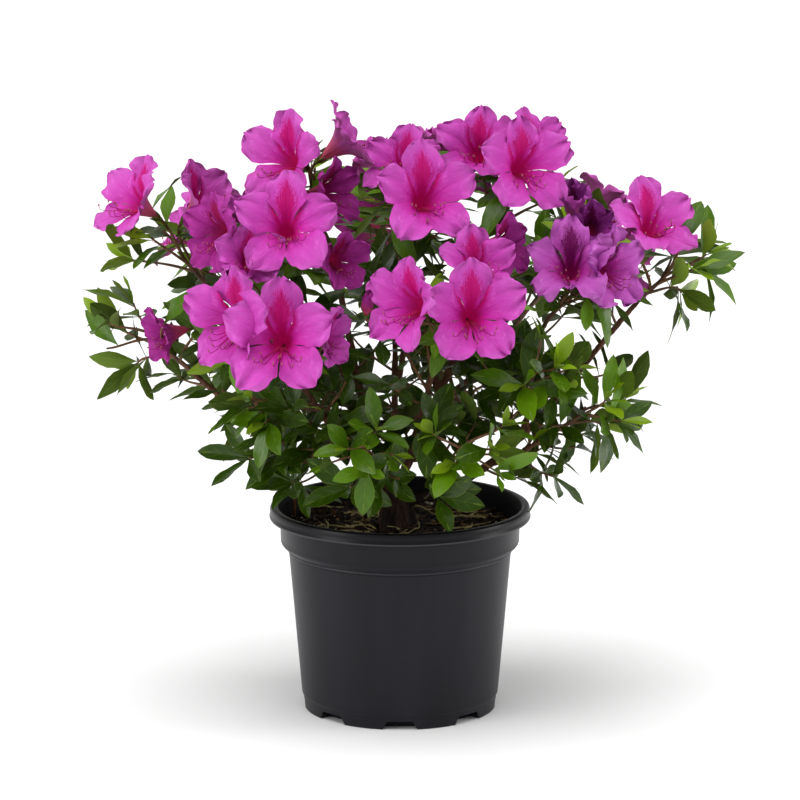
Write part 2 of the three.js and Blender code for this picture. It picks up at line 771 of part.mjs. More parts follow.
function growMass(mass, owner, laid, lines, flowers, sites) {
  const bough = laid[mass.bough];
  const seed = owner + 1;
  const heading = bough.curve.getTangent(1);
  const start = bough.curve.getPoint(1).addScaledVector(heading, clearance);
  const heart = vector(mass.heart);
  const arrival = heart.clone().sub(start).normalize().add(up).normalize();
  const mainStem = bentBetween(start, heading, heart, arrival);
  const stemPoints = mainStem.getPoints(stem.steps);
  const allLines = Object.values(lines);
  const otherLines = allLines.filter((line) => line !== lines[mass.bough]);
  const allFlowers = flowers.flat();

  const pointIsClear = (point, margin, limbs) => (
    insideSpace(point, owner, sites)
    && clearOfPot(point, margin)
    && limbs.every((line) => distanceToLimb(point, line) > margin)
  );
  const ends = flowers[owner].map((flower, index) => ({
    point: flower.foot,
    arrival: flower.face,
    flower,
    whorls: leaf.whorlsPerBloom,
    turn: 2 * Math.PI * chance(seed, index + 20),
  }));
  const outward = heart.clone().sub(crownHeart).normalize();
  for (let index = 0; index < mass.shoots; index += 1) {
    const level = 1 - (2 * (index + 0.5)) / mass.shoots;
    const around = index * goldenAngle + seed;
    const ring = Math.sqrt(1 - level * level);
    const direction = new THREE.Vector3(ring * Math.cos(around), ring * Math.sin(around), level)
      .multiply(shoot.flattening)
      .addScaledVector(outward, shoot.outward)
      .normalize();
    const span = THREE.MathUtils.lerp(shoot.nearest, shoot.farthest, chance(seed, index + 120));
    ends.push({
      point: vector(mass.reach).multiply(direction).multiplyScalar(span).add(heart),
      arrival: direction.clone().addScaledVector(up, shoot.upward).normalize(),
      whorls: leaf.whorlsPerShoot,
      turn: 2 * Math.PI * chance(seed, index + 140),
    });
  }

  const shoots = [];
  const grownPoints = [];
  ends.sort((one, other) => one.point.distanceTo(start) - other.point.distanceTo(start));
  ends.forEach((end, index) => {
    const share = stem.firstFork + ((1 - stem.firstFork) * (index + 0.5)) / ends.length;
    const place = stem.steps * share;
    const step = Math.min(Math.floor(place), stem.steps - 1);
    const fork = stemPoints[step].clone().lerp(stemPoints[step + 1], place - step);
    const leaving = end.point.clone().sub(fork).normalize().multiplyScalar(stem.forkPull)
      .add(mainStem.getTangent(share))
      .normalize();
    const twig = shootBetween(fork, leaving, end);
    const points = twig.rings.slice(1).map(({ middle }) => middle);
    if (end.flower || points.every((point) => pointIsClear(point, leaf.keepClear, otherLines))) {
      leafOut(twig, seed * 50 + index, (samples) => {
        const isFree = samples.every((sample) => pointIsClear(sample, leaf.keepClear, allLines));
        const isNear = (sample, { point, shootIndex }) => (
          shootIndex !== index && point.distanceTo(sample) < leaf.room);
        const isCrowded = samples.some((sample) => grownPoints.some((grown) => isNear(sample, grown)));
        const isKept = isFree && !isCrowded && !isThroughBloom(samples, allFlowers);
        if (isKept) {
          grownPoints.push(...samples.map((point) => ({ point, shootIndex: index })));
        }
        return isKept;
      });
      if (end.flower || twig.leaves.some(Boolean)) {
        shoots.push(twig);
      }
    }
  });
  return { mainStem, shoots };
}

// Solids of a mass

// Joins two rings of corners, listed the same way round, with triangles that face outwards
function bridge(faces, points, lower, upper) {
  const gap = (at) => points[lower[0]].distanceTo(points[upper[at]]);
  const nearest = upper.reduce((best, _, at) => (gap(at) < gap(best) ? at : best), 0);
  let down = 0;
  let over = 0;
  const low = (at) => lower[at % lower.length];
  const high = (at) => upper[(at + nearest) % upper.length];
  while (down < lower.length || (over < upper.length && upper.length > 1)) {
    const lowerNext = (down + 0.5) / lower.length;
    const upperNext = upper.length > 1 ? (over + 0.5) / upper.length : Infinity;
    if (upperNext < lowerNext) {
      faces.push([low(down), high(over + 1), high(over)]);
      over += 1;
    } else {
      faces.push([low(down), low(down + 1), high(over)]);
      down += 1;
    }
  }
}

// A leaf grows out of the four corners between two rings of its twig: a pointed blade with a flat
// face and a low keel under it
function addLeaf(faces, points, corners, blade) {
  const side = new THREE.Vector3().crossVectors(blade.face, blade.along);
  const half = (blade.length * leaf.widthPerLength) / 2;
  const broadest = blade.root.clone().addScaledVector(blade.along, blade.length * leaf.broadestShare);
  const [a, b, c, d] = corners;
  const left = points.length;
  const [right, keel, tip] = [left + 1, left + 2, left + 3];
  points.push(
    broadest.clone().addScaledVector(side, -half),
    broadest.clone().addScaledVector(side, half),
    broadest.clone().addScaledVector(blade.face, -leaf.thickness),
    blade.root.clone().addScaledVector(blade.along, blade.length),
  );
  faces.push([a, b, keel], [b, right, keel], [a, keel, left], [keel, right, tip], [keel, tip, left]);
  faces.push([d, right, c], [d, left, right], [left, tip, right], [a, left, d], [b, c, right]);
}

function addBloom(faces, points, lastRing, flower, rim) {
  const side = new THREE.Vector3().crossVectors(flower.face, flower.lift);
  const throat = flower.size * bloom.throatDepth;
  const addRing = (places) => {
    const from = points.length;
    points.push(...places);
    return places.map((_, index) => from + index);
  };
  const ring = (radius, depth) => addRing(Array.from({ length: bloom.petals }, (_, petal) => {
    const angle = ((petal + 0.5) * 2 * Math.PI) / bloom.petals;
    return flower.foot.clone()
      .addScaledVector(flower.face, depth)
      .addScaledVector(flower.lift, radius * Math.cos(angle))
      .addScaledVector(side, radius * Math.sin(angle));
  }));
  const radius = flower.size * bloom.throatRadius;
  const outer = ring(radius, throat - bloom.wallThickness);
  const edge = addRing(rim);
  const inner = ring(radius - bloom.wallThickness, throat + bloom.wallThickness);
  const pit = addRing([flower.foot.clone().addScaledVector(flower.face, throat * bloom.pitShare)]);
  bridge(faces, points, lastRing, outer);
  bridge(faces, points, outer, edge);
  bridge(faces, points, edge, inner);
  bridge(faces, points, inner, pit);
}

function shootSolid(twig, rim) {
  const points = [];
  const faces = [];
  const hasLeaf = (whorl) => twig.leaves.slice(3 * whorl, 3 * whorl + 3).some(Boolean);
  const rings = twig.rings.filter(({ whorl }, index) => (
    index === 0 || index === twig.rings.length - 1 || hasLeaf(whorl) || (whorl > 0 && hasLeaf(whorl - 1))));
  for (const ring of rings) {
    for (let corner = 0; corner < 3; corner += 1) {
      const angle = ring.angle + (2 * Math.PI * corner) / 3;
      points.push(ring.middle.clone().addScaledVector(radialAt(ring, angle), ring.radius));
    }
  }
  faces.push([0, 2, 1]);
  for (let ring = 1; ring < rings.length; ring += 1) {
    const { whorl } = rings[ring - 1];
    for (let side = 0; side < 3; side += 1) {
      const lower = 3 * (ring - 1);
      const next = (side + 1) % 3;
      const corners = [lower + side, lower + next, lower + 3 + next, lower + 3 + side];
      const blade = whorl >= 0 && whorl < twig.whorls ? twig.leaves[3 * whorl + side] : null;
      if (blade) {
        addLeaf(faces, points, corners, blade);
      } else {
        faces.push([corners[0], corners[1], corners[2]], [corners[0], corners[2], corners[3]]);
      }
    }
  }
  const last = 3 * (rings.length - 1);
  if (twig.flower) {
    addBloom(faces, points, [last, last + 1, last + 2], twig.flower, rim);
  } else {
    faces.push([last, last + 1, last + 2]);
  }
  const geometry = new THREE.BufferGeometry().setFromPoints(points);
  geometry.setIndex(faces.flat());
  return solidFrom(geometry);
}

function stemSolid(curve, sizes) {
  const radiusAt = (share) => THREE.MathUtils.lerp(sizes.baseRadius, sizes.tipRadius, share);
  return bentBar(curve, radiusAt, sizes.sides, sizes.steps);
}

// A petal that would leave its mass's space is drawn back towards the throat
function tuckedRim(flower, owner, sites) {
  const throat = flower.foot.clone().addScaledVector(flower.face, flower.size * bloom.throatDepth);
  return bloomRim(flower).map((point) => {
    let share = 1;
    while (share > 0.3 && !insideSpace(throat.clone().lerp(point, share), owner, sites)) {
      share -= 0.05;
    }
    return throat.clone().lerp(point, share);
  });
}

function makeMasses(laid) {
  const lines = limbLines(laid);
  const flowers = masses.map((mass, owner) => [
    ...mass.blooms.map(bloomFrom),
    ...wildBlooms(mass, owner + 1),
  ]);
  const sites = spaceSites(flowers);
  return masses.map((mass, owner) => {
    const grown = growMass(mass, owner, laid, lines, flowers, sites);
    const joined = grown.shoots
      .map((twig) => shootSolid(twig, twig.flower ? tuckedRim(twig.flower, owner, sites) : []))
      .reduce((whole, solid) => whole.add(solid), stemSolid(grown.mainStem, stem));
    return meshFrom(mass.name, mainPiece(joined), foliage);
  });
}

// A short young stem that stands by itself in the soil
function makeSucker() {
  const foot = new THREE.Vector3(...sucker.foot, soil.level - 2 * soil.roughness);
  const end = { point: vector(sucker.top), arrival: up, whorls: leaf.whorlsPerShoot, turn: sucker.turn };
  const twig = shootBetween(foot, up, end);
  leafOut(twig, sucker.seed, (samples) => samples.every((point) => clearOfPot(point, 2)));
  const aboveSoil = shootSolid(twig, []).subtract(soilSolid().translate([0, 0, clearance]));
  return meshFrom(sucker.name, mainPiece(aboveSoil), foliage);
}

const laidBoughs = layOutBoughs();
const shrub = new THREE.Group();
shrub.name = 'azalea_shrub';
shrub.add(makePot());
shrub.add(meshFrom('soil', soilSolid(), pottingMix));
shrub.add(meshFrom('trunk', mainPiece(trunkSolid(0)), bark));
shrub.add(...makeBoughs(laidBoughs));
shrub.add(...makeMasses(laidBoughs));
shrub.add(makeSucker());

export default shrub;
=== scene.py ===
from functools import partialmethod
from math import cos, floor, hypot, pi, prod, radians, sin, sqrt

import bpy
import numpy as np
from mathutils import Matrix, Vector, noise
from numpy.linalg import norm


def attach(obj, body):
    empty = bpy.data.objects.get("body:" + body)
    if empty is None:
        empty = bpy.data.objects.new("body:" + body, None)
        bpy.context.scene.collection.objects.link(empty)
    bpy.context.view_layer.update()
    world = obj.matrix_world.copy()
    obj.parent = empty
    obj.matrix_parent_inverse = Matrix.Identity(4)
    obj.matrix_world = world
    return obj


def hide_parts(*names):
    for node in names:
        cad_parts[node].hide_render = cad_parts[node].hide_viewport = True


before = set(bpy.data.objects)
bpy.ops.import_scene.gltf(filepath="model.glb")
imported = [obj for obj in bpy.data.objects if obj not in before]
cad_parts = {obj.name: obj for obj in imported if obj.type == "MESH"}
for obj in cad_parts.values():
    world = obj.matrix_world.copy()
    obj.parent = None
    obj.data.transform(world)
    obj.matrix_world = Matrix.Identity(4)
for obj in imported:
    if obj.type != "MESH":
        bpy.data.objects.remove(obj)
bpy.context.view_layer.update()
mm = 0.001
up = np.array([0.0, 0.0, 1.0])
cellInset = 0.04  # the margin in each cell of the leaves' and petals' sheet
print("Frame loaded:", len(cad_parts), "solids")


# Small tools

def chance(seed, draw):  # a repeatable number from 0 to 1, the same as in the solids
    wave = sin(seed * 12.9898 + draw * 78.233) * 43758.5453
    return wave - floor(wave)


def vec(*place):
    return np.array(place, dtype=float)


def unit(direction):
    return direction / norm(direction)


def mix(low, high, share):
    return low + (high - low) * share


def ease(value, low, high):
    share = np.clip((value - low) / (high - low), 0, 1)
    return share * share * (3 - 2 * share)


def flattened(direction, axis):
    return unit(direction - axis * np.dot(direction, axis))


def inMode(mode):
    bpy.ops.object.mode_set(mode=mode)


def deselectAll():
    if bpy.context.object and bpy.context.object.mode != "OBJECT":
        inMode("OBJECT")
    bpy.ops.object.select_all(action="DESELECT")


def onlySelect(piece):
    deselectAll()
    piece.select_set(True)
    bpy.context.view_layer.objects.active = piece


def applyPlace(piece):
    onlySelect(piece)
    bpy.ops.object.transform_apply(location=True, rotation=True, scale=True)


def applyModifier(piece, kind, **settings):
    onlySelect(piece)
    made = piece.modifiers.new(kind.title(), kind)
    for key, value in settings.items():
        setattr(made, key, value)
    bpy.ops.object.modifier_apply(modifier=made.name)


def selectVerts(piece, isWanted):  # leaves the piece in edit mode
    inMode("EDIT")
    bpy.ops.mesh.select_mode(type="VERT")
    bpy.ops.mesh.select_all(action="DESELECT")
    inMode("OBJECT")
    for vert in piece.data.vertices:
        vert.select = isWanted(vert.co)
    inMode("EDIT")


def extrudeTo(scale, height, lift):  # the selected ring goes up or down and grows or shrinks
    bpy.ops.mesh.extrude_region_move(TRANSFORM_OT_translate={"value": (0, 0, lift * mm)})
    bpy.ops.transform.resize(value=scale, center_override=(0, 0, height * mm))


def closeOff():
    bpy.ops.mesh.select_all(action="SELECT")
    bpy.ops.mesh.normals_make_consistent(inside=False)
    inMode("OBJECT")


def paintPiece(piece, *finishes):
    piece.data.materials.clear()
    for finish in finishes:
        piece.data.materials.append(finish)


# Finishes: sockets take part in sums, so that a pattern reads as an expression

class Wire:
    def __init__(self, finish, socket):
        self.finish, self.socket = finish, socket

    def sum(self, operation, *others):
        return self.finish.node("Math", {"operation": operation}, dict(enumerate((self, *others))))

    def __rsub__(self, other):
        return self.finish.node("Math", {"operation": "SUBTRACT"}, {0: other, 1: self})

    def ease(self, low, high):  # 0 below low, 1 above high; the other way round where low is above high
        if low > high:
            return 1 - self.ease(high, low)
        smooth = {"interpolation_type": "SMOOTHSTEP"}
        return self.finish.node("MapRange", smooth, {0: self, 1: low, 2: high})

    def isNear(self, value, width=0.5):
        return 1 - (self - value).abs().sum("GREATER_THAN", width)

    def under(self, share, colour):  # this colour, with another over it by a share
        return self.finish.blend(share, self, colour)


# every plain sum is one Math node
for signs, operation in {"__add__ __radd__": "ADD", "__sub__": "SUBTRACT", "__mul__": "MULTIPLY",
                         "__truediv__": "DIVIDE", "__pow__": "POWER", "abs": "ABSOLUTE", "sin": "SINE",
                         "floor": "FLOOR", "fract": "FRACT", "max": "MAXIMUM", "min": "MINIMUM"}.items():
    for sign in signs.split():
        setattr(Wire, sign, partialmethod(Wire.sum, operation))


class Finish:
    def __init__(self, name, **plain):
        self.material = bpy.data.materials.new(name)
        self.material.use_nodes = True
        self.tree = self.material.node_tree
        self.shader = self.tree.nodes["Principled BSDF"]
        for socket, value in plain.items():
            self.shader.inputs[socket.replace("_", " ")].default_value = value

    def node(self, kind, settings=None, values=None, output=0):
        made = self.tree.nodes.new("ShaderNode" + kind)
        for key, value in (settings or {}).items():
            if key == "stops":
                ramp = made.color_ramp.elements
                while len(ramp) < len(value):
                    ramp.new(0.5)
                for element, (place, colour) in zip(ramp, value):
                    element.position = place
                    element.color = (*colour, 1)
            else:
                setattr(made, key, value)
        for key, value in (values or {}).items():
            if isinstance(value, Wire):
                self.tree.links.new(value.socket, made.inputs[key])
            else:
                made.inputs[key].default_value = value
        return Wire(self, made.outputs[output])

    def feed(self, socket, wire):
        self.tree.links.new(wire.socket, self.shader.inputs[socket])

    def blend(self, share, first, second):
        ends = [(*end, 1) if isinstance(end, tuple) else end for end in (first, second)]
        return self.node("Mix", {"data_type": "RGBA"}, {0: share, 6: ends[0], 7: ends[1]}, 2)

    def ramp(self, share, *stops):
        return self.node("ValToRGB", {"stops": stops}, {0: share})

    def objectPlace(self):
        return self.node("TexCoord", output=3)

    def axes(self, place):
        made = self.node("SeparateXYZ", None, {0: place})
        return [Wire(self, socket) for socket in made.socket.node.outputs]

    def noise(self, place, scale, detail=3, rough=0.55, stretch=None):
        if stretch:
            place = self.node("Mapping", None, {0: place, 3: stretch})
        values = {"Vector": place, "Scale": scale, "Detail": detail, "Roughness": rough}
        return self.node("TexNoise", None, values)

    def bump(self, height, strength, distance):
        made = self.node("Bump", None, {"Height": height, "Strength": strength, "Distance": distance})
        self.feed("Normal", made)

    def cells(self):  # in the sheet of cells: the column and row, then the place within the cell
        place = self.node("UVMap", {"uv_map": "OFBake"})
        x, y, _ = self.axes(place)
        inner = 1 - 2 * cellInset
        right = ((x * 4).fract() - 0.5) * (2 / inner)
        return place, (x * 4).floor(), (y * 2).floor(), right, ((y * 2).fract() - cellInset) / inner


# Meshes from arrays: everything is gathered in one store and written once

def newStore():
    return {"verts": [], "quads": [], "tris": [], "size": 0}


def gather(store, verts, quads, quadUv=None, tris=(), triUv=None, kind=0):
    for corners, faces, uv in (("quads", quads, quadUv), ("tris", tris, triUv)):
        if len(faces):
            faces = np.asarray(faces, dtype=np.int64)
            uv = np.zeros((*faces.shape, 2)) if uv is None else uv
            store[corners].append((faces + store["size"], uv, np.full(len(faces), kind)))
    store["verts"].append(verts)
    store["size"] += len(verts)


def pieceFrom(name, store, finishes, sharp=50, uvName="OFBake"):
    verts = np.concatenate(store["verts"]) * mm
    faces, uv, kinds = zip(*store["quads"], *store["tris"])
    corners = np.concatenate([part.ravel() for part in faces])
    sizes = np.concatenate([np.full(len(part), part.shape[1]) for part in faces])
    mesh = bpy.data.meshes.new(name)
    mesh.vertices.add(len(verts))
    mesh.vertices.foreach_set("co", verts.ravel())
    mesh.loops.add(len(corners))
    mesh.loops.foreach_set("vertex_index", corners)
    mesh.polygons.add(len(sizes))
    mesh.polygons.foreach_set("loop_start", np.cumsum(sizes) - sizes)
    mesh.polygons.foreach_set("use_smooth", np.ones(len(sizes), bool))
    layer = mesh.uv_layers.new(name=uvName)
    layer.uv.foreach_set("vector", np.concatenate([part.ravel() for part in uv]).astype(np.float32))
    mesh.update(calc_edges=True)
    mesh.validate()
    mesh.set_sharp_from_angle(angle=radians(sharp))
    piece = bpy.data.objects.new(name, mesh)
    bpy.context.scene.collection.objects.link(piece)
    paintPiece(piece, *finishes)
    mesh.polygons.foreach_set("material_index", np.concatenate(kinds).astype(np.int32))
    print(f"{name}: {(sizes - 2).sum()} triangles")
    return piece


def quadsOf(grid, flip=False):
    a, b, c, d = grid[:-1, :-1], grid[1:, :-1], grid[1:, 1:], grid[:-1, 1:]
    return np.stack([a, d, c, b] if flip else [a, b, c, d], -1).reshape(-1, 4)


def tube(points, radii, sides):  # a bar with rounded ends along a line of points
    points = np.asarray(points, dtype=float)
    ahead = np.gradient(points, axis=0)
    ahead /= norm(ahead, axis=1)[:, None]
    first = flattened(vec(1, 0.3, 0.2) if abs(ahead[0][2]) > 0.8 else up, ahead[0])
    angle = np.arange(sides)[:, None] * 2 * np.pi / sides
    verts = []
    for point, along, radius in zip(points, ahead, radii):
        first = flattened(first, along)
        verts.append(point + radius * (np.cos(angle) * first + np.sin(angle) * np.cross(along, first)))
    verts += [points[:1] - ahead[:1] * radii[0] * 0.6, points[-1:] + ahead[-1:] * radii[-1] * 0.6]
    rows = len(points)
    low = rows * sides
    grid = np.arange(low).reshape(rows, sides)
    quads = quadsOf(np.hstack([grid, grid[:, :1]]))[:, ::-1]
    share, side = [part.ravel() for part in np.meshgrid(
        np.linspace(0, 1, rows), np.linspace(0, 1, sides, endpoint=False), indexing="ij")]
    quadUv = np.stack([side[quads], share[quads]], -1)
    quadUv[..., 0] -= np.where(quadUv[..., 0] - quadUv[..., 0].min(1, keepdims=True) > 0.5, 1, 0)
    over, last = grid[0], grid[-1]
    tris = np.concatenate([np.stack([np.full(sides, low), np.roll(over, -1), over], 1),
                           np.stack([np.full(sides, low + 1), last, np.roll(last, -1)], 1)])
    triUv = np.full((len(tris), 3, 2), 0.5)
    triUv[..., 1] = np.repeat([0, 1], sides)[:, None]
    return np.concatenate(verts), quads, quadUv, tris, triUv


def gatherTube(store, cell, *shape):  # a tube in one cell of the sheet
    verts, quads, quadUv, tris, triUv = tube(*shape)
    gather(store, verts, quads, cellPlace(np.clip(quadUv, 0, 1), cell), tris, cellPlace(triUv, cell))


def cellPlace(uv, cell):  # puts a face's own map in its cell of a sheet of 4 by 2
    column, row = cell % 4, cell // 4
    inner = cellInset + (1 - 2 * cellInset) * uv
    return np.stack([(inner[..., 0] + column) / 4, (inner[..., 1] + row) / 2], -1)


# The plant's layout, as in the solids. Millimetres.

soilLevel = 152.0
potHeight, potRimRadius = 170.0, 107.5
trunkSizes = {"foot": (-3, -4, 152.3), "fork": (-6, -6, 186), "bend": 2, "footRadius": 13, "forkRadius": 10.5}
bend = {"leaving": 0.36, "arriving": 0.34}
limbSizes = {"baseRadius": 4.6, "tipRadius": 2.6}
crownHeart = vec(0, 0, 300)
crownEdges = {"left": -258, "right": 277, "front": -182, "back": 192, "top": 512}

# name, what it leaves, share of that, tip, rise at either end, girth
boughRows = [
    ("bough_left", "trunk", 0.8, (-172, -12, 286), 22, 44, 1),
    ("bough_right", "trunk", 0.7, (194, 0, 340), 8, 48, 1),
    ("bough_back", "trunk", 0.8, (-4, 88, 312), 40, 62, 1),
    ("bough_front_left", "trunk", 0.9, (-84, -80, 296), 38, 52, 0.95),
    ("bough_front", "trunk", 0.95, (28, -80, 306), 46, 62, 0.95),
    ("bough_top_left", "trunk", 1, (-58, 4, 384), 66, 74, 1),
    ("bough_top_right", "trunk", 1, (72, -4, 374), 62, 72, 1),
    ("bough_left_upper", "bough_left", 0.5, (-152, 10, 342), 46, 60, 0.8),
    ("bough_upper_left", "bough_top_left", 0.4, (-90, -32, 346), 50, 60, 0.8),
    ("bough_top_centre", "bough_top_right", 0.42, (8, -22, 370), 74, 78, 0.8),
    ("bough_right_upper", "bough_right", 0.45, (116, -38, 326), 50, 58, 0.8),
    ("bough_right_low", "bough_right", 0.32, (126, -38, 240), 18, 34, 0.75),
    ("bough_low_left", "bough_front_left", 0.35, (-24, -74, 226), 8, 16, 0.7),
    ("bough_low_right", "bough_front", 0.3, (44, -76, 226), 8, 16, 0.7),
    ("bough_low_outer_left", "bough_left", 0.3, (-80, -52, 250), 14, 30, 0.7),
    ("bough_low_outer_right", "bough_right_upper", 0.3, (96, -60, 270), 18, 36, 0.65),
    ("bough_back_left", "bough_back", 0.3, (-94, 70, 298), 36, 54, 0.85),
    ("bough_back_right", "bough_back", 0.36, (92, 70, 300), 34, 54, 0.85),
    ("bough_back_top", "bough_back", 0.6, (8, 62, 354), 70, 80, 0.75),
    ("bough_low_back", "bough_back_right", 0.4, (52, 104, 240), 10, 20, 0.7),
    ("bough_low_side", "bough_back_left", 0.4, (-92, 84, 236), 4, 20, 0.7),
]

# name, heart, reach, leafy shoots, blooms set by the rule, then each bloom's throat, turn, tilt,
# how far open and size
massRows = [
    ("mass_left", (-204, -14, 318), (52, 50, 40), 6, 0, [
        ((-180, -38, 322), -66, -8, 0.5, 0.8)]),
    ("mass_left_upper", (-180, 4, 384), (48, 54, 48), 4, 0, [
        ((-207, -10, 418), -54, 34, 0.72, 1.03), ((-166, -2, 416), 58, 42, 0.6, 1)]),
    ("mass_front_left", (-106, -104, 330), (58, 36, 40), 3, 0, [
        ((-123, -112, 345), -38, 6, 0.9, 1.08), ((-93, -128, 331), -5, 20, 1, 1.12),
        ((-66, -100, 332), 62, -6, 0.5, 0.8)]),
    ("mass_upper_left", (-108, -58, 386), (52, 42, 40), 2, 0, [
        ((-138, -56, 406), -48, 4, 0.75, 0.9), ((-90, -84, 411), 0, 29, 1, 1.02),
        ((-119, -88, 385), 4, 40, 0.65, 0.85), ((-118, -50, 412), -60, 48, 0.1, 0.85),
        ((-54, -74, 387), 40, 2, 0.6, 0.76)]),
    ("mass_top_left", (-72, -2, 436), (50, 48, 48), 3, 0, [
        ((-86, -22, 456), -40, 20, 0.95, 1), ((-54, 0, 464), 84, 36, 0.65, 0.95),
        ((-66, -30, 434), 58, 10, 0.6, 0.88)]),
    ("mass_front", (36, -104, 346), (54, 36, 44), 3, 0, [
        ((16, -132, 360), -46, 14, 0.75, 1.06), ((55, -138, 353), 8, 17, 1, 1.03),
        ((58, -98, 381), 16, 38, 0.7, 0.9), ((-26, -112, 356), 8, 46, 0, 0.7)]),
    ("mass_top_centre", (2, -34, 420), (46, 42, 44), 5, 0, [
        ((17, -60, 430), 14, 28, 1, 1.05), ((4, -12, 448), -24, 44, 0.75, 0.92)]),
    ("mass_top_right", (90, -14, 430), (50, 50, 50), 3, 0, [
        ((64, -2, 458), -8, 42, 0.85, 0.95), ((95, -32, 453), 22, 22, 1, 1),
        ((106, 14, 460), 34, 52, 0.65, 0.85), ((73, -62, 397), 58, 4, 0.5, 0.85)]),
    ("mass_right", (146, -46, 366), (46, 44, 42), 3, 0, [
        ((136, -66, 374), -4, 42, 0.95, 0.95), ((160, -56, 377), 44, 4, 0.7, 0.95),
        ((138, -30, 419), 0, 58, 0.12, 0.8), ((153, -22, 401), 16, 36, 0.3, 0.75)]),
    ("mass_right_tip", (222, 4, 370), (48, 58, 34), 6, 0, [
        ((201, -8, 396), 28, 50, 0.8, 1.02)]),
    ("mass_right_low", (150, -44, 261), (44, 46, 34), 5, 0, []),
    ("mass_low_left", (-28, -106, 248), (46, 30, 38), 6, 0, []),
    ("mass_low_right", (54, -110, 248), (46, 30, 38), 6, 0, []),
    ("mass_low_outer_left", (-94, -80, 276), (44, 34, 30), 5, 0, []),
    ("mass_low_outer_right", (108, -84, 300), (42, 34, 34), 5, 0, []),
    ("mass_back_left", (-124, 92, 350), (60, 60, 52), 6, 2, []),
    ("mass_back", (-2, 124, 366), (52, 54, 54), 6, 3, []),
    ("mass_back_right", (128, 90, 352), (60, 60, 52), 5, 3, []),
    ("mass_back_top", (10, 66, 400), (54, 46, 38), 4, 3, []),
    ("mass_low_back", (60, 136, 264), (50, 34, 36), 5, 0, []),
    ("mass_low_side", (-110, 112, 262), (50, 40, 36), 5, 0, []),
]
massKeys = ("name", "heart", "reach", "shoots", "wild", "blooms")
masses = [dict(zip(massKeys, row)) for row in massRows]
oddBoughs = {"mass_right": "bough_right_upper", "mass_right_tip": "bough_right"}
for mass in masses:  # each grows on its namesake, apart from two
    mass["bough"] = oddBoughs.get(mass["name"], mass["name"].replace("mass", "bough"))


# The growth rule

goldenAngle = pi * (3 - sqrt(5))
shootRule = {"outward": 0.7, "upward": 0.35, "flattening": vec(1, 1, 0.9), "nearest": 0.6, "farthest": 0.9,
             "firstFork": 0.12, "forkPull": 2.4}
wildRule = {"lean": 0.45, "leanSpread": 0.4, "open": 0.65, "openSpread": 0.35,
            "size": 0.9, "sizeSpread": 0.15, "out": 0.62}
bloomRule = {"throatDepth": 17, "openRadius": 42, "openDepth": 36, "closedRadius": 3, "closedDepth": 48,
             "siteShare": 0.8, "view": 40, "viewFrom": 0.6, "widening": 0.3, "tubeWidth": 7, "tubeEnd": 4}


def rising(outward, degrees):
    angle = radians(degrees)
    return unit(vec(outward[0], outward[1], 0)) * cos(angle) + up * sin(angle)


def bentBetween(start, heading, end, arrival):
    span = norm(end - start)
    return [start, start + heading * bend["leaving"] * span, end - arrival * bend["arriving"] * span, end]


def pointAt(curve, share):
    a, b, c, d = curve
    rest = 1 - share
    return a * rest ** 3 + 3 * b * rest ** 2 * share + 3 * c * rest * share ** 2 + d * share ** 3


def headingAt(curve, share):
    a, b, c, d = curve
    rest = 1 - share
    return unit(3 * rest ** 2 * (b - a) + 6 * rest * share * (c - b) + 3 * share ** 2 * (d - c))


def turned(axis, first, angle):  # a direction at right angles to the axis, turned about it
    return first * cos(angle) + np.cross(axis, first) * sin(angle)


def spoke(heading, angle):  # one way out from a stem
    return turned(heading, flattened(up if abs(heading[2]) < 0.9 else vec(1, 0, 0), heading), angle)


def pointsAlong(curve, steps):
    return np.array([pointAt(curve, step / steps) for step in range(steps + 1)])


def trunkPoint(share):
    foot, fork = vec(*trunkSizes["foot"]), vec(*trunkSizes["fork"])
    middle = (foot + fork) / 2 + vec(trunkSizes["bend"], 0, 0)
    rest = 1 - share
    return foot * rest ** 2 + 2 * middle * rest * share + fork * share ** 2


def layOutBoughs():
    laid = {}
    for name, on, share, tip, leave, arrive, girth in boughRows:
        if on == "trunk":
            start = trunkPoint(share) - vec(0, 0, limbSizes["baseRadius"])
        else:
            start = pointAt(laid[on]["curve"], share)
        outward = vec(*tip) - start
        curve = bentBetween(start, rising(outward, leave), vec(*tip), rising(outward, arrive))
        laid[name] = {"curve": curve, "girth": girth}
    return laid


def facing(turn, tilt):
    around, rise = radians(turn), radians(tilt)
    return vec(sin(around) * cos(rise), -cos(around) * cos(rise), sin(rise))


def bloomShape(flower):
    reach = flower["size"] * mix(bloomRule["closedRadius"], bloomRule["openRadius"], sqrt(flower["open"]))
    depth = flower["size"] * mix(bloomRule["closedDepth"], bloomRule["openDepth"], flower["open"])
    return reach, depth


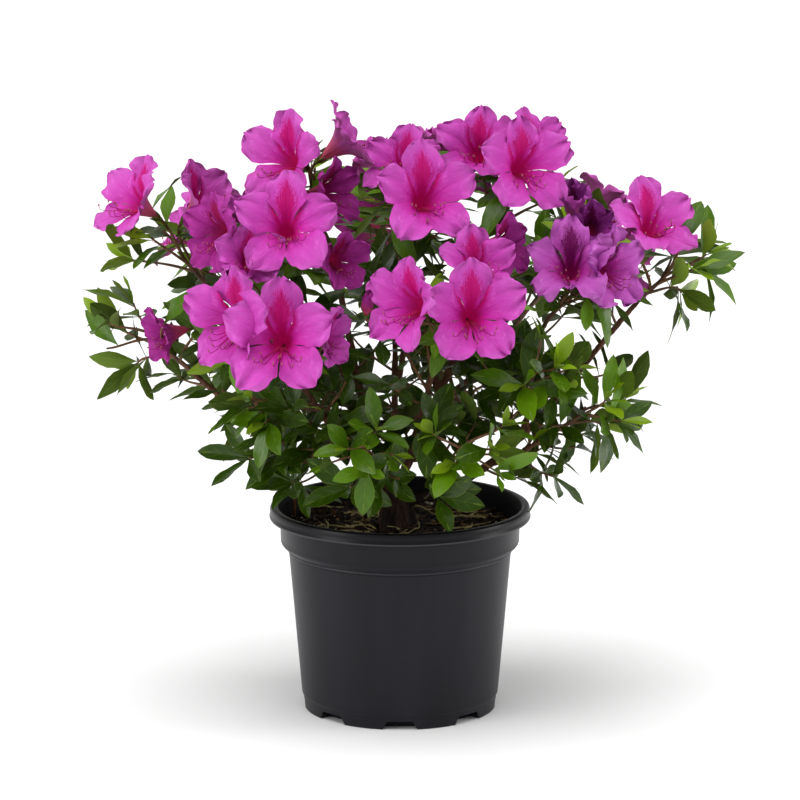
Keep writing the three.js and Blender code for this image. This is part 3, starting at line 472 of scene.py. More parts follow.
def bloomsOf(mass, seed):
    flowers = []
    for throat, turn, tilt, opened, size in mass["blooms"]:
        face = facing(turn, tilt)
        foot = vec(*throat) - face * size * bloomRule["throatDepth"]
        flowers.append({"foot": foot, "face": face, "open": opened, "size": size})
    heart = vec(*mass["heart"])
    outward = unit(heart - crownHeart)
    side = flattened(vec(0, 1, 0.2), outward)
    across = np.cross(outward, side)
    for index in range(mass["wild"]):
        around = index * goldenAngle + seed + wildRule["lean"] * chance(seed, 300 + index)
        lean = wildRule["lean"] + wildRule["leanSpread"] * chance(seed, 320 + index)
        face = outward + side * lean * cos(around) + across * lean * sin(around)
        face[2] = max(face[2], 0.1)
        face = unit(face)
        foot = vec(*mass["reach"]) * face * wildRule["out"] + heart
        foot[2] = min(foot[2], crownEdges["top"] - bloomRule["closedDepth"])
        flowers.append({"foot": foot, "face": face,
                        "open": wildRule["open"] + wildRule["openSpread"] * chance(seed, 340 + index),
                        "size": wildRule["size"] + wildRule["sizeSpread"] * chance(seed, 360 + index)})
    for number, flower in enumerate(flowers):
        flower["lift"] = flattened(up, flower["face"])
        flower.update(seed=seed * 10 + number, number=number, mass=mass["name"])
    return flowers


laidBoughs = layOutBoughs()
massFlowers = [bloomsOf(mass, owner + 1) for owner, mass in enumerate(masses)]
allFlowers = [flower for flowers in massFlowers for flower in flowers]
sites = []  # owner and point: each mass has its heart and its blooms
for owner, mass in enumerate(masses):
    sites.append((owner, vec(*mass["heart"])))
    for flower in massFlowers[owner]:
        spot = flower["foot"] + flower["face"] * bloomRule["siteShare"] * bloomShape(flower)[1]
        sites.append((owner, spot))
siteOwners, sitePoints = map(np.array, zip(*sites))
limbNames = list(laidBoughs)
limbLines = [pointsAlong(laidBoughs[name]["curve"], 8) for name in limbNames]
limbFrom = np.concatenate([line[:-1] for line in limbLines])
limbTo = np.concatenate([line[1:] for line in limbLines])


def insideSpace(points, owner, slack):
    away = norm(points[:, None] - sitePoints[None], axis=2)
    own = away[:, siteOwners == owner].min(1)
    other = away[:, siteOwners != owner].min(1)
    isNearest = own < other + slack
    x, y, z = points.T
    isInCrown = ((x > crownEdges["left"]) & (x < crownEdges["right"]) & (z < crownEdges["top"])
                 & (y > crownEdges["front"]) & (y < crownEdges["back"]))
    return bool((isNearest & isInCrown).all())


def clearOfPot(points, margin):
    away = np.hypot(points[:, 0], points[:, 1])
    isAbove = points[:, 2] > potHeight + margin
    isBeside = (away > potRimRadius + margin) & (points[:, 2] > potHeight - 40)
    return bool((isAbove | isBeside).all())


def clearOfLimbs(points, margin):
    along = limbTo - limbFrom
    away = points[:, None] - limbFrom[None]
    share = np.clip((away * along).sum(2) / (along * along).sum(1), 0, 1)
    gap = norm(away - along * share[..., None], axis=2)
    return bool((gap > margin).all())


flowerFeet, flowerFaces = [np.array([flower[key] for flower in allFlowers]) for key in ("foot", "face")]
flowerReach, flowerDepth = np.array([bloomShape(flower) for flower in allFlowers]).T
flowerThroat = np.array([flower["size"] for flower in allFlowers]) * bloomRule["throatDepth"]


def isThroughBloom(points):
    away = points[:, None] - flowerFeet[None]
    forward = (away * flowerFaces).sum(2)
    out = norm(away - forward[..., None] * flowerFaces, axis=2)
    rule = bloomRule
    opened = np.clip((forward - flowerThroat) / (flowerDepth - flowerThroat) + rule["widening"], 0, 1)
    isAhead = (forward > flowerThroat * rule["viewFrom"]) & (forward < flowerDepth + rule["view"])
    isInTube = (forward > 0) & (forward < flowerThroat + rule["tubeEnd"]) & (out < rule["tubeWidth"])
    return bool((isAhead & (out < flowerReach * opened) | isInTube).any())


# Leaves: one outline, bent and folded differently each time

leafLook = {
    "length": 45, "lengthSpread": 9, "widthPerLength": 0.35, "broadestShare": 0.54, "thickness": 0.5,
    "whorlGap": 9, "lowSpread": 84, "topSpread": 40,
    "bend": 0.13, "fold": 0.16, "wave": 0.03, "room": 6,
    "hanging": 0.22, "sag": 0.3, "youngFrom": (190, 420), "potGap": 1.5, "limbGap": 3.0,
}
youngLeaf = {"shade": 3, "spread": 20}
leafStations = np.array([0, 0.05, 0.14, 0.28, 0.45, 0.62, 0.78, 0.91, 1])


def leafWidth(share):
    broadest = leafLook["broadestShare"]
    rise = np.sin(np.pi / 2 * np.clip(share / broadest, 0, 1)) ** 1.35
    fall = np.cos(np.pi / 2 * np.clip((share - broadest) / (1 - broadest), 0, 1)) ** 0.8
    return np.where(share < broadest, rise, fall) * 0.97 + 0.03 * (1 - share)


def leafTemplate():
    across = np.array([-1, -0.5, 0, 0.5, 1])
    rows, columns = len(leafStations), len(across)
    along, side = np.meshgrid(leafStations, across, indexing="ij")
    top = np.stack([side.ravel(), along.ravel(), np.zeros(rows * columns)], 1)
    under = np.stack([side[:, 1:-1].ravel(), along[:, 1:-1].ravel(), np.ones(rows * 3)], 1)
    topGrid = np.arange(rows * columns).reshape(rows, columns)
    underGrid = topGrid.copy()
    underGrid[:, 1:-1] = rows * columns + np.arange(rows * 3).reshape(rows, 3)
    faces = np.concatenate([quadsOf(topGrid, flip=True), quadsOf(underGrid)])
    template = np.concatenate([top, under])
    uv = np.stack([(template[:, 0] + 1) / 2, template[:, 1]], 1)[faces]
    isUnder = np.repeat([0, 1], len(faces) // 2)
    return template, faces, uv, isUnder


def growLeaves(store, blades):  # a blade is its root, direction, face, length, shade and seed
    template, faces, uv, isUnder = leafTemplate()
    x, y, isLow = template.T
    for blade in blades:
        seed = blade["seed"]
        side = np.cross(blade["face"], blade["along"])
        length = blade["length"]
        half = length * leafLook["widthPerLength"] * blade.get("width", 1) / 2 * leafWidth(y)
        bendBy = leafLook["bend"] * (0.3 + 1.4 * chance(seed, 1))
        fold = leafLook["fold"] * (0.4 + 1.2 * chance(seed, 2))
        turn = 0.5 * (chance(seed, 3) - 0.5)
        wave = leafLook["wave"] * np.sin(9 * y + 6.28 * chance(seed, 4) + 1.5 * x)
        height = length * (-bendBy * y ** 2 + wave * x ** 2 * leafWidth(y)) + half * np.abs(x) * fold
        height += half * x * turn * y
        height -= isLow * leafLook["thickness"] * (1.1 - np.abs(x)) * (1 - 0.75 * y)
        height -= (np.abs(x) < 0.1) * (1 - isLow) * 0.25
        verts = (blade["root"] + np.outer(length * y, blade["along"]) + np.outer(half * x, -side)
                 + np.outer(height, blade["face"]))
        gather(store, verts, faces, cellPlace(uv, (blade["shade"] + 4 * isUnder)[:, None]))


def leafPoints(blade):
    side = np.cross(blade["face"], blade["along"])
    half = blade["length"] * leafLook["widthPerLength"] / 2
    spots = []
    for share in (0.3, 0.5, 0.75, 1):
        width = half * float(leafWidth(np.array(share)))
        middle = (blade["root"] + blade["along"] * blade["length"] * share
                  - blade["face"] * leafLook["bend"] * share ** 2 * 8)
        spots += [middle, middle + side * width, middle - side * width]
    return np.array(spots)


# Shoots: every twig is a curve with whorls of leaves towards its end

twigLook = {"stemRadius": 2.1, "shootRadius": 1.3, "tipRadius": 0.85, "sideRadius": 0.8,
            "sideTwigs": 2, "sideLength": 30, "sideSpread": 55, "perWhorl": 5, "whorls": 2, "droop": 0.06,
            "leafScale": 1, "broad": 1, "ceiling": 1000,
            "insideShares": (0.3, 0.4, 0.5, 0.6, 0.7, 0.8, 0.9), "insideLength": 34}

# open sprays, with the sky or the soil between their leaves
openSprays = {
    "mass_left": {"sideTwigs": 0, "perWhorl": 4}, "mass_left_upper": {"sideTwigs": 0},
    "mass_right_tip": {"sideTwigs": 0, "leafScale": 1.1}, "mass_right_low": {"sideTwigs": 0, "perWhorl": 4},
    "mass_top_left": {"ceiling": 474}, "mass_back_top": {"ceiling": 474},
    "mass_low_left": {"sideTwigs": 0, "whorls": 1, "droop": 0.2, "leafScale": 0.86, "broad": 1.25},
    "mass_low_right": {"sideTwigs": 0, "whorls": 1, "droop": 0.2, "leafScale": 0.86, "broad": 1.25},
    "mass_low_outer_left": {"sideTwigs": 0, "perWhorl": 4, "droop": 0.14, "broad": 1.1},
    "mass_low_outer_right": {"sideTwigs": 0, "perWhorl": 4, "droop": 0.14, "broad": 1.1},
    "mass_low_back": {"sideTwigs": 1, "whorls": 1}, "mass_low_side": {"sideTwigs": 0},
}


def whorlOn(curve, share, count, phase, seed, rank, scale=1.0, shade=None, spread=None, droop=0.06):
    heading = headingAt(curve, share)
    middle = pointAt(curve, share)
    blades = []
    for number in range(count):
        jitter = [2 * chance(seed, number * 7 + draw) - 1 for draw in range(5)]
        angle = phase + 2 * pi * number / count + 0.25 * jitter[0]
        radial = spoke(heading, angle)
        lean = mix(leafLook["lowSpread"], leafLook["topSpread"], rank) if spread is None else spread
        tilt = radians(lean + 14 * jitter[1])
        along = unit(heading * cos(tilt) + radial * sin(tilt)
                     - up * droop * (0.6 + 0.5 * jitter[2]))
        if along[2] < 0 and chance(seed, 80 + number) > leafLook["hanging"]:  # most leaves turn to the light
            along = unit(along * vec(1, 1, leafLook["sag"]))
        face = flattened(heading + up * 0.6, along)
        length = (leafLook["length"] + leafLook["lengthSpread"] * jitter[3]) * mix(1, 0.86, rank) * scale
        height = ease(middle[2], *leafLook["youngFrom"])
        tone = int(min(2.9 * chance(seed, 60 + number) + 1.2 * rank * (0.3 + height), 3.9))
        if shade is not None:
            tone = shade
        if middle[2] < leafLook["youngFrom"][0] + 40:
            tone = min(tone, 2)
        root = middle + radial * 0.8 + heading * 0.6 * jitter[4]
        blades.append({"root": root, "along": along, "face": face, "length": length, "shade": tone,
                       "seed": seed * 13 + number})
    return blades


grown = [{"blades": [], "spots": np.zeros((0, 3))} for mass in masses]


def sprayLook(owner):
    return {**twigLook, **openSprays.get(masses[owner]["name"], {})}


def keepBlades(owner, blades, slack):  # only leaves that have room, in their own mass's space
    look = sprayLook(owner)
    found = 0
    for blade in blades:
        blade["length"] *= look["leafScale"]
        blade["width"] = look["broad"]
        spots = leafPoints(blade)
        if spots[:, 2].max() > look["ceiling"]:
            continue
        taken = grown[owner]["spots"]
        gaps = norm(spots[::3, None] - taken[None], axis=2)
        isCrowded = len(taken) and gaps.min() < leafLook["room"]
        if (not isCrowded and insideSpace(spots, owner, slack) and clearOfPot(spots, leafLook["potGap"])
                and clearOfLimbs(spots[3:], leafLook["limbGap"]) and not isThroughBloom(spots)):
            grown[owner]["blades"].append(blade)
            grown[owner]["spots"] = np.concatenate([taken, spots[3::3]])
            found += 1
    return found


def keepWhorl(owner, *whorl, slack=3.0, **more):  # how many of its leaves stay
    return keepBlades(owner, whorlOn(*whorl, **more), slack)


def growMass(owner, mass, twigs):
    seed = owner + 1
    curve = laidBoughs[mass["bough"]]["curve"]
    heading = headingAt(curve, 1)
    start = pointAt(curve, 1)
    heart = vec(*mass["heart"])
    stem = bentBetween(start, heading, heart, unit(unit(heart - start) + up))
    outward = unit(heart - crownHeart)
    look = sprayLook(owner)
    ends = []
    for index, flower in enumerate(massFlowers[owner]):
        ends.append({"point": flower["foot"], "arrival": flower["face"], "hasFlower": True,
                     "turn": 2 * pi * chance(seed, index + 20)})
    for index in range(mass["shoots"]):
        level = 1 - (2 * (index + 0.5)) / mass["shoots"]
        around = index * goldenAngle + seed
        ring = sqrt(1 - level * level)
        direction = vec(ring * cos(around), ring * sin(around), level) * shootRule["flattening"]
        direction = unit(direction + outward * shootRule["outward"])
        span = mix(shootRule["nearest"], shootRule["farthest"], chance(seed, index + 120))
        ends.append({"point": heart + vec(*mass["reach"]) * direction * span,
                     "arrival": unit(direction + up * shootRule["upward"]), "hasFlower": False,
                     "turn": 2 * pi * chance(seed, index + 140)})
    ends.sort(key=lambda end: norm(end["point"] - start))
    twigs.append((stem, twigLook["stemRadius"], twigLook["shootRadius"], 0, 10))

    for index, end in enumerate(ends):
        share = shootRule["firstFork"] + (1 - shootRule["firstFork"]) * (index + 0.5) / len(ends)
        fork = pointAt(stem, share)
        leaving = unit(unit(end["point"] - fork) * shootRule["forkPull"] + headingAt(stem, share))
        curve = bentBetween(fork, leaving, end["point"], end["arrival"])
        span = norm(end["point"] - fork)
        twigSeed = seed * 50 + index
        tipRadius = twigLook["tipRadius"] * (1.5 if end["hasFlower"] else 1)
        twigs.append((curve, twigLook["shootRadius"], tipRadius, 1, 8))
        if end["hasFlower"]:
            top = 1 - 9 / span
            keepWhorl(owner, curve, top, 5, end["turn"], twigSeed, 0.35, 0.95)
            keepWhorl(owner, curve, max(top - 12 / span, 0.2), 4, end["turn"] + 0.6, twigSeed + 7, 0.1, 0.9)
        else:
            keepWhorl(owner, curve, 1.0, 3, end["turn"] + 0.4, twigSeed + 3, 1, 0.6, **youngLeaf)
            for whorl in range(look["whorls"]):
                place = 1 - (3 + whorl * leafLook["whorlGap"]) / span
                rank = 0.8 - 0.6 * whorl
                keepWhorl(owner, curve, max(place, 0.15), look["perWhorl"], end["turn"] + 0.63 * whorl,
                          twigSeed * 3 + whorl, rank, droop=look["droop"])
        for number in range(look["sideTwigs"]):
            place = 0.3 + 0.5 * (number + chance(twigSeed, 200 + number)) / look["sideTwigs"]
            base = pointAt(curve, place)
            heading = headingAt(curve, place)
            radial = spoke(heading, goldenAngle * number + 6.28 * chance(twigSeed, 210))
            tilt = radians(look["sideSpread"])
            away = unit(heading * cos(tilt) + radial * sin(tilt))
            length = look["sideLength"] * (0.7 + 0.6 * chance(twigSeed, 220 + number))
            tip = base + away * length + up * 4
            side = bentBetween(base, away, tip, unit(away + up * 0.5))
            if not (insideSpace(tip[None], owner, 0) and clearOfPot(tip[None], 4)):
                continue
            sideSeed = twigSeed * 9 + number
            if keepWhorl(owner, side, 0.95, 5, 1.7 * number, sideSeed, 0.5, 0.88):
                twigs.append((side, look["sideRadius"], look["sideRadius"] * 0.7, 2, 5))
                keepWhorl(owner, side, 1.0, 1, number, sideSeed + 11, 1, 0.4, **youngLeaf)


def growInside(twigs):  # short leafy twigs along the boughs, in the shade of the crown
    look = twigLook
    for row, name in enumerate(limbNames):
        curve = laidBoughs[name]["curve"]
        for number, share in enumerate(look["insideShares"]):
            seed = 900 + 20 * row + number
            base, heading = pointAt(curve, share), headingAt(curve, share)
            away = unit(heading * 0.5 + spoke(heading, goldenAngle * number + 6.28 * chance(seed, 1)))
            tip = base + away * look["insideLength"] * (0.8 + 0.5 * chance(seed, 2)) + up * 6
            twig = bentBetween(base, away, tip, unit(away + up * 0.6))
            owner = int(siteOwners[norm(sitePoints - tip, axis=1).argmin()])
            if not (insideSpace(tip[None], owner, 0) and clearOfPot(tip[None], 6)):
                continue
            found = keepWhorl(owner, twig, 1.0, 5, 6.28 * chance(seed, 3), seed, 0.5, 0.95, shade=0, slack=8)
            found += keepWhorl(owner, twig, 0.72, 4, 6.28 * chance(seed, 4), seed + 5, 0.1, 0.9,
                               shade=0, slack=8)
            if found:
                twigs.append((twig, look["shootRadius"], look["tipRadius"], 1, 6))


twigs = []
for owner, mass in enumerate(masses):
    growMass(owner, mass, twigs)
growInside(twigs)
bladesByMass = {mass["name"]: grown[owner]["blades"] for owner, mass in enumerate(masses)}
print("Leaves kept:", sum(len(blades) for blades in bladesByMass.values()), "twigs:", len(twigs))


# Leaf finish: a sheet of 4 by 2 cells, four shades above and four below

leafFinishLook = {
    "tops": [(0.026, 0.062, 0.001), (0.052, 0.122, 0.001), (0.092, 0.205, 0.002), (0.20, 0.33, 0.006)],
    "unders": [(0.060, 0.100, 0.008), (0.078, 0.132, 0.010), (0.11, 0.18, 0.014), (0.20, 0.31, 0.02)],
    "rib": (0.19, 0.30, 0.03), "edge": (0.22, 0.28, 0.02), "roughTop": 0.22, "roughUnder": 0.6,
}


def makeLeafFinish():
    look = leafFinishLook
    finish = Finish("leafGloss", Specular_IOR_Level=0.26)
    place, column, row, right, v = finish.cells()
    u = right.abs()
    sides = []
    for shades in (look["tops"], look["unders"]):
        sides.append(finish.ramp(column / 4 + 0.01, *[(n / 4, shade) for n, shade in enumerate(shades)]))
        sides[-1].socket.node.color_ramp.interpolation = "CONSTANT"
    colour = finish.blend(row, *sides)
    mottle = finish.noise(place, 46, 4, 0.6, (4, 2, 1))
    colour = finish.blend((mottle - 0.35) * 0.9, colour, finish.blend(0.45, colour, (0.0, 0.02, 0.0)))
    veins = ((v * 26 - u * 7).sin() * 0.5 + 0.5).ease(0.8, 1.0) * u.ease(0.95, 0.3) * 0.1
    rib = u.ease(0.07, 0.02)
    colour = colour.under(veins, look["rib"])
    colour = colour.under(u.ease(0.93, 0.99) * 0.45, look["edge"])
    colour = colour.under(rib * (row * 0.25 + 0.14), look["rib"])
    finish.feed("Base Color", colour)
    finish.feed("Roughness", row * (look["roughUnder"] - look["roughTop"]) + look["roughTop"] + mottle * 0.1)
    finish.bump(rib * -0.8 + veins * -1.2 + mottle * 0.25, 0.35, 0.0006)
    return finish.material


leafFinish = makeLeafFinish()
leafPieces = {
    "leavesFront": ["mass_left", "mass_left_upper", "mass_front_left", "mass_upper_left", "mass_front",
                    "mass_right", "mass_right_tip", "mass_right_low"],
    "leavesTop": ["mass_top_left", "mass_top_centre", "mass_top_right", "mass_back_top"],
    "leavesBack": ["mass_back_left", "mass_back", "mass_back_right", "mass_low_back", "mass_low_side"],
    "leavesLow": ["mass_low_left", "mass_low_right", "mass_low_outer_left", "mass_low_outer_right", "sucker"],
}

# The sucker by itself in the soil, at the left of the stump
suckerFoot, suckerTop = vec(-88, 32, soilLevel - 3), vec(-86, 24, 188)
suckerCurve = bentBetween(suckerFoot, up, suckerTop, up)
twigs.append((suckerCurve, 1.5, 1.0, 1, 6))
blades = whorlOn(suckerCurve, 0.97, 4, 1.0, 3, 0.6, 0.9) + whorlOn(suckerCurve, 0.8, 3, 1.5, 5, 0.3, 0.9)
bladesByMass["sucker"] = [blade for blade in blades if clearOfPot(leafPoints(blade), 1)]

for name, members in leafPieces.items():
    store = newStore()
    for member in members:
        growLeaves(store, bladesByMass[member])
    piece = pieceFrom(name, store, [leafFinish], sharp=60)
    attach(piece, "root")
    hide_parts(*members)


# Blooms: five ruffled petals on a funnel, with stamens

bloomLook = {
    "rows": 23, "columns": 13, "tubeShare": 0.26, "petalWidth": 16.0, "thickness": 0.5,
    "angles": [0, 66, 142, 218, 294], "ruffle": 4.2, "crinkle": 1.5,
    "profile": [(0, 0.42), (0.15, 0.58), (0.3, 0.78), (0.45, 0.94), (0.56, 1)], "broadest": 0.56,
    "roundness": 2.3, "frill": 1.0, "violetFrill": 1.8,
    "reach": 1.04, "reachSpread": 0.07, "depthSpread": 3.5,
    "flare": (4, 26), "curl": (0, 100), "curlSpread": 24,
    "tubeRadius": 6.5, "tubeFoot": 0.5, "stamens": 9, "stamenRadius": 0.42, "antherRadius": 0.75,
    "stamenLength": 35, "pistilLength": 46, "stamenSpread": 17,
}


def partsOf(flower):  # what all of a bloom's shapes are made from
    return [flower[key] for key in ("open", "size", "seed", "foot", "face", "lift")]


def petalSurface(flower, number):
    look = bloomLook
    opened, size, seed, foot, face, lift = partsOf(flower)
    draw = [2 * chance(seed * 7 + number, 400 + n) - 1 for n in range(8)]
    reach, depth = bloomShape(flower)
    reach = reach * (look["reach"] + look["reachSpread"] * draw[0])
    depth = depth + look["depthSpread"] * size * draw[1] * opened
    tubeRadius, tubeDepth = look["tubeRadius"], bloomRule["throatDepth"]
    throat = vec(tubeRadius, tubeDepth) * size
    tip = vec(reach, depth)
    gap = norm(tip - throat)
    flare = radians(mix(*look["flare"], opened))
    curl = radians(mix(*look["curl"], opened ** 0.8) + look["curlSpread"] * draw[2] * opened)
    ends = [throat, throat + gap * 0.4 * vec(sin(flare), cos(flare)),
            tip - gap * 0.42 * vec(sin(curl), cos(curl)), tip]

    # v runs from the tube's foot to the petal's tip, u from side to side
    rowShare = 1 - (1 - np.linspace(0, 1, look["rows"])) ** 1.3
    v, u = np.meshgrid(rowShare, np.linspace(-1, 1, look["columns"]), indexing="ij")
    notch = 0.035 * max(draw[6], 0) * np.exp(-(u / 0.3) ** 2) - 0.008 * np.cos(9 * u + 6 * draw[7])
    pulled = v - (0.05 * u ** 2 + notch) * v ** 8
    tubeShare = look["tubeShare"]
    low = np.clip(pulled / tubeShare, 0, 1)
    high = np.clip((pulled - tubeShare) / (1 - tubeShare), 0, 1)[..., None]
    inTube = np.stack([mix(look["tubeFoot"], tubeRadius, low ** 1.2) * size, tubeDepth * size * low], -1)
    inLobe = (ends[0] * (1 - high) ** 3 + 3 * ends[1] * (1 - high) ** 2 * high
              + 3 * ends[2] * (1 - high) * high ** 2 + ends[3] * high ** 3)
    slopeTube = np.stack([np.full_like(low, 4.9 * size * 1.2), np.full_like(low, tubeDepth * size)], -1)
    slopeLobe = (3 * (1 - high) ** 2 * (ends[1] - ends[0]) + 6 * (1 - high) * high * (ends[2] - ends[1])
                 + 3 * high ** 2 * (ends[3] - ends[2]))
    isTube = (pulled < tubeShare)[..., None]
    line = np.where(isTube, inTube, inLobe)
    slope = np.where(isTube, slopeTube, slopeLobe)
    slope = slope / norm(slope, axis=-1, keepdims=True)
    normal = np.stack([-slope[..., 1], slope[..., 0]], -1)

    # half width: the tube is shared out between the petals, the lobe has its own outline
    radius = np.maximum(line[..., 0], 1.4 * size)
    lobeShare = (v - tubeShare) / (1 - tubeShare)
    profile = np.interp(lobeShare, *zip(*look["profile"]))
    beyond = np.clip((lobeShare - look["broadest"]) / (1 - look["broadest"]), 0, 1) * 0.985
    profile = profile * (1 - beyond ** look["roundness"]) ** (1 / look["roundness"])
    lobeWidth = look["petalWidth"] * size * profile * mix(0.62, 1, sqrt(opened)) * (1 + 0.06 * draw[3])
    spreadIn = ease(v, 0.45, 0.62)
    middles = [look["angles"][(number + step) % 5] - look["angles"][number] for step in (1, -1)]
    toNext, toLast = [radians(min(turn % 360, -turn % 360) / 2 + 0.8) for turn in middles]
    half = mix(radius * np.where(u > 0, toNext, toLast), lobeWidth, spreadIn)
    scallops = 0.05 * np.sin(15 * v + 5 * draw[4] + 2 * np.sign(u)) + 0.02 * np.sin(33 * v + 5 * draw[1])
    half = half * (1 + scallops * np.abs(u) ** 3 * ease(v, 0.5, 0.65))
    over = half * u
    # the tube is round, and the lobe is cupped where the bloom is still closed
    cupping = (1 - opened) ** 1.3 * 0.85
    curve = mix(1.0, cupping + 0.12, ease(v, 0.36, 0.55)) / radius
    rolled = np.clip(curve * over, -2.6, 2.6)
    x = np.sin(rolled) / curve
    h = (1 - np.cos(rolled)) / curve

    # height over that surface: ruffles at the edge, creases, a twist and the rib's groove
    free = ease(v, 0.4, 0.75)
    frill = look["violetFrill" if flower["mass"] == "mass_right" else "frill"]
    ruffle = look["ruffle"] * size * mix(0.45, 1, opened) * frill
    waves = 0.8 * np.sin(12 * v * (1 + 0.15 * draw[5]) + 2.2 * np.sign(u) + 6 * draw[6]) * np.abs(u) ** 2
    waves += 0.4 * np.sin(29 * v + 9 * draw[7] + 3 * u) * np.abs(u) ** 3
    waves += 0.6 * np.sin(7.5 * u + 6 * draw[0]) * v ** 4
    narrow = np.minimum(profile / 0.6, 1)
    h = h + free * ruffle * waves * narrow
    creases = np.sin(7 * u + 3 * draw[3] + 2 * v) * 0.7
    creases = creases + np.sin(15 * u * (0.6 + 0.4 * v) + 5 * draw[4]) * 0.35
    h = h + look["crinkle"] * size * creases * ease(v, 0.35, 0.8) * narrow
    h = h + (0.8 + 1.4 * draw[5]) * size * u * ease(v, 0.42, 0.62)
    h = h - 0.6 * size * np.exp(-(u / 0.13) ** 2) * ease(v, 0.25, 0.5) * (1 - 0.6 * v)
    h = h + 1.2 * size * draw[1] * free * v

    angle = radians(look["angles"][number])
    out = turned(face, lift, angle)
    across = -lift * sin(angle) + np.cross(face, lift) * cos(angle)
    offset = line + normal * h[..., None]
    inner = foot + offset[..., :1] * out + offset[..., 1:] * face + x[..., None] * across
    thick = look["thickness"] * size * (1 - np.abs(u) ** 4) * (1 - 0.55 * v)
    away = normal[..., :1] * out + normal[..., 1:] * face
    outer = inner - away * thick[..., None]
    return inner, outer, u, v


def growBloom(store, flower):
    for number in range(5):
        inner, outer, u, v = petalSurface(flower, number)
        rows, columns = u.shape
        topGrid = np.arange(rows * columns).reshape(rows, columns)
        underGrid = topGrid.copy()
        inside = (rows - 2, columns - 2)
        underGrid[1:-1, 1:-1] = rows * columns + np.arange(prod(inside)).reshape(inside)
        verts = np.concatenate([inner.reshape(-1, 3), outer[1:-1, 1:-1].reshape(-1, 3)])
        faces = np.concatenate([quadsOf(topGrid), quadsOf(underGrid, flip=True)])
        across = (u.ravel() + 1) / 2
        if number in (3, 4):  # mirrored, so that these petals' marks meet the upper one's
            across = 1 - across
        uv = np.stack([across, v.ravel()], 1)
        uv = np.concatenate([uv, uv.reshape(rows, columns, 2)[1:-1, 1:-1].reshape(-1, 2)])
        cell = np.repeat([(0, 1, 2, 2, 1)[number], 3], len(faces) // 2)
        gather(store, verts, faces, cellPlace(uv[faces], cell[:, None]))
    if flower["open"] > 0.3:
        growStamens(store, flower)
    growBloomFoot(store, flower)


def growStamens(store, flower):
    look = bloomLook
    opened, size, seed, foot, face, lift = partsOf(flower)
    for number in range(look["stamens"] + 1):
        isPistil = number == look["stamens"]
        draw = [chance(seed * 11 + number, 500 + n) for n in range(4)]
        around = pi + 1.7 * ((number + 0.5) / look["stamens"] - 0.5) + 0.25 * (draw[0] - 0.5)
        if isPistil:
            around = pi + 0.5 * (draw[0] - 0.5)
        out = turned(face, lift, around)
        length = size * (look["pistilLength" if isPistil else "stamenLength"] + 8 * draw[1])
        spread = size * (look["stamenSpread"] + 11 * draw[2]) * (0.5 + 0.5 * opened)
        start = foot + face * 8 * size + out * 1.5
        end = foot + face * length + out * spread + lift * 6 * size
        curve = [start, start + face * length * 0.45 + out * 3, end - lift * 9 * size - face * 4 * size, end]
        radius = look["stamenRadius"] * size
        gatherTube(store, 4, pointsAlong(curve, 7), np.linspace(radius, radius * 0.6, 8), 3)
        tipRadius = look["antherRadius"] * size
        ahead = headingAt(curve, 1)
        gatherTube(store, 5, [end - ahead * tipRadius, end, end + ahead * tipRadius * 1.4],
                   [tipRadius * 0.5, tipRadius, tipRadius * 0.5], 4)


def growBloomFoot(store, flower):  # the green calyx under the tube
    _, size, seed, foot, face, lift = partsOf(flower)
    points = [foot + face * rise * size for rise in (-3.4, -2, -0.6, 0.4)]
    gatherTube(store, 6, points, np.array([1.2, 1.9, 2.3, 1.9]) * size, 8)
    for number in range(5):
        out = turned(face, lift, 2 * pi * number / 5 + 0.4)
        spine = [foot - face * size, foot + face * 3 * size + out * 2.6 * size,
                 foot + face * (7 + 2 * chance(seed, 700 + number)) * size + out * 4.2 * size]
        gatherTube(store, 6, spine, np.array([1.1, 1.3, 0.3]) * size, 4)


# Petal finish: cells 0 to 2 are the insides of upper, side and lower petals, 3 the outsides, 4 the
# stamens, 5 their tips and 6 the calyx

# the colours of each tone, in the order of petalKeys
petalKeys = ("edge", "middle", "deep", "mark", "throat", "outside", "rib")
petalRows = {
    "Rose": [(0.59, 0.115, 0.51), (0.54, 0.05, 0.415), (0.60, 0.011, 0.34), (0.48, 0.0, 0.14),
             (0.66, 0.004, 0.16), (0.50, 0.08, 0.38), (0.72, 0.09, 0.19)],
    "Pink": [(0.61, 0.13, 0.53), (0.56, 0.062, 0.435), (0.62, 0.015, 0.36), (0.50, 0.0, 0.15),
             (0.72, 0.01, 0.18), (0.54, 0.10, 0.42), (0.78, 0.12, 0.22)],
    "Deep": [(0.42, 0.045, 0.32), (0.33, 0.018, 0.23), (0.28, 0.004, 0.12), (0.26, 0.0, 0.06),
             (0.5, 0.01, 0.10), (0.34, 0.022, 0.22), (0.52, 0.05, 0.12)],
    "Faded": [(0.36, 0.065, 0.34), (0.27, 0.024, 0.24), (0.17, 0.006, 0.11), (0.12, 0.0, 0.05),
              (0.3, 0.01, 0.08), (0.30, 0.035, 0.24), (0.42, 0.07, 0.16)],
    "Violet": [(0.53, 0.14, 0.51), (0.47, 0.075, 0.43), (0.42, 0.011, 0.27), (0.13, 0.0, 0.07),
               (0.3, 0.004, 0.10), (0.35, 0.06, 0.36), (0.45, 0.07, 0.2)],
}


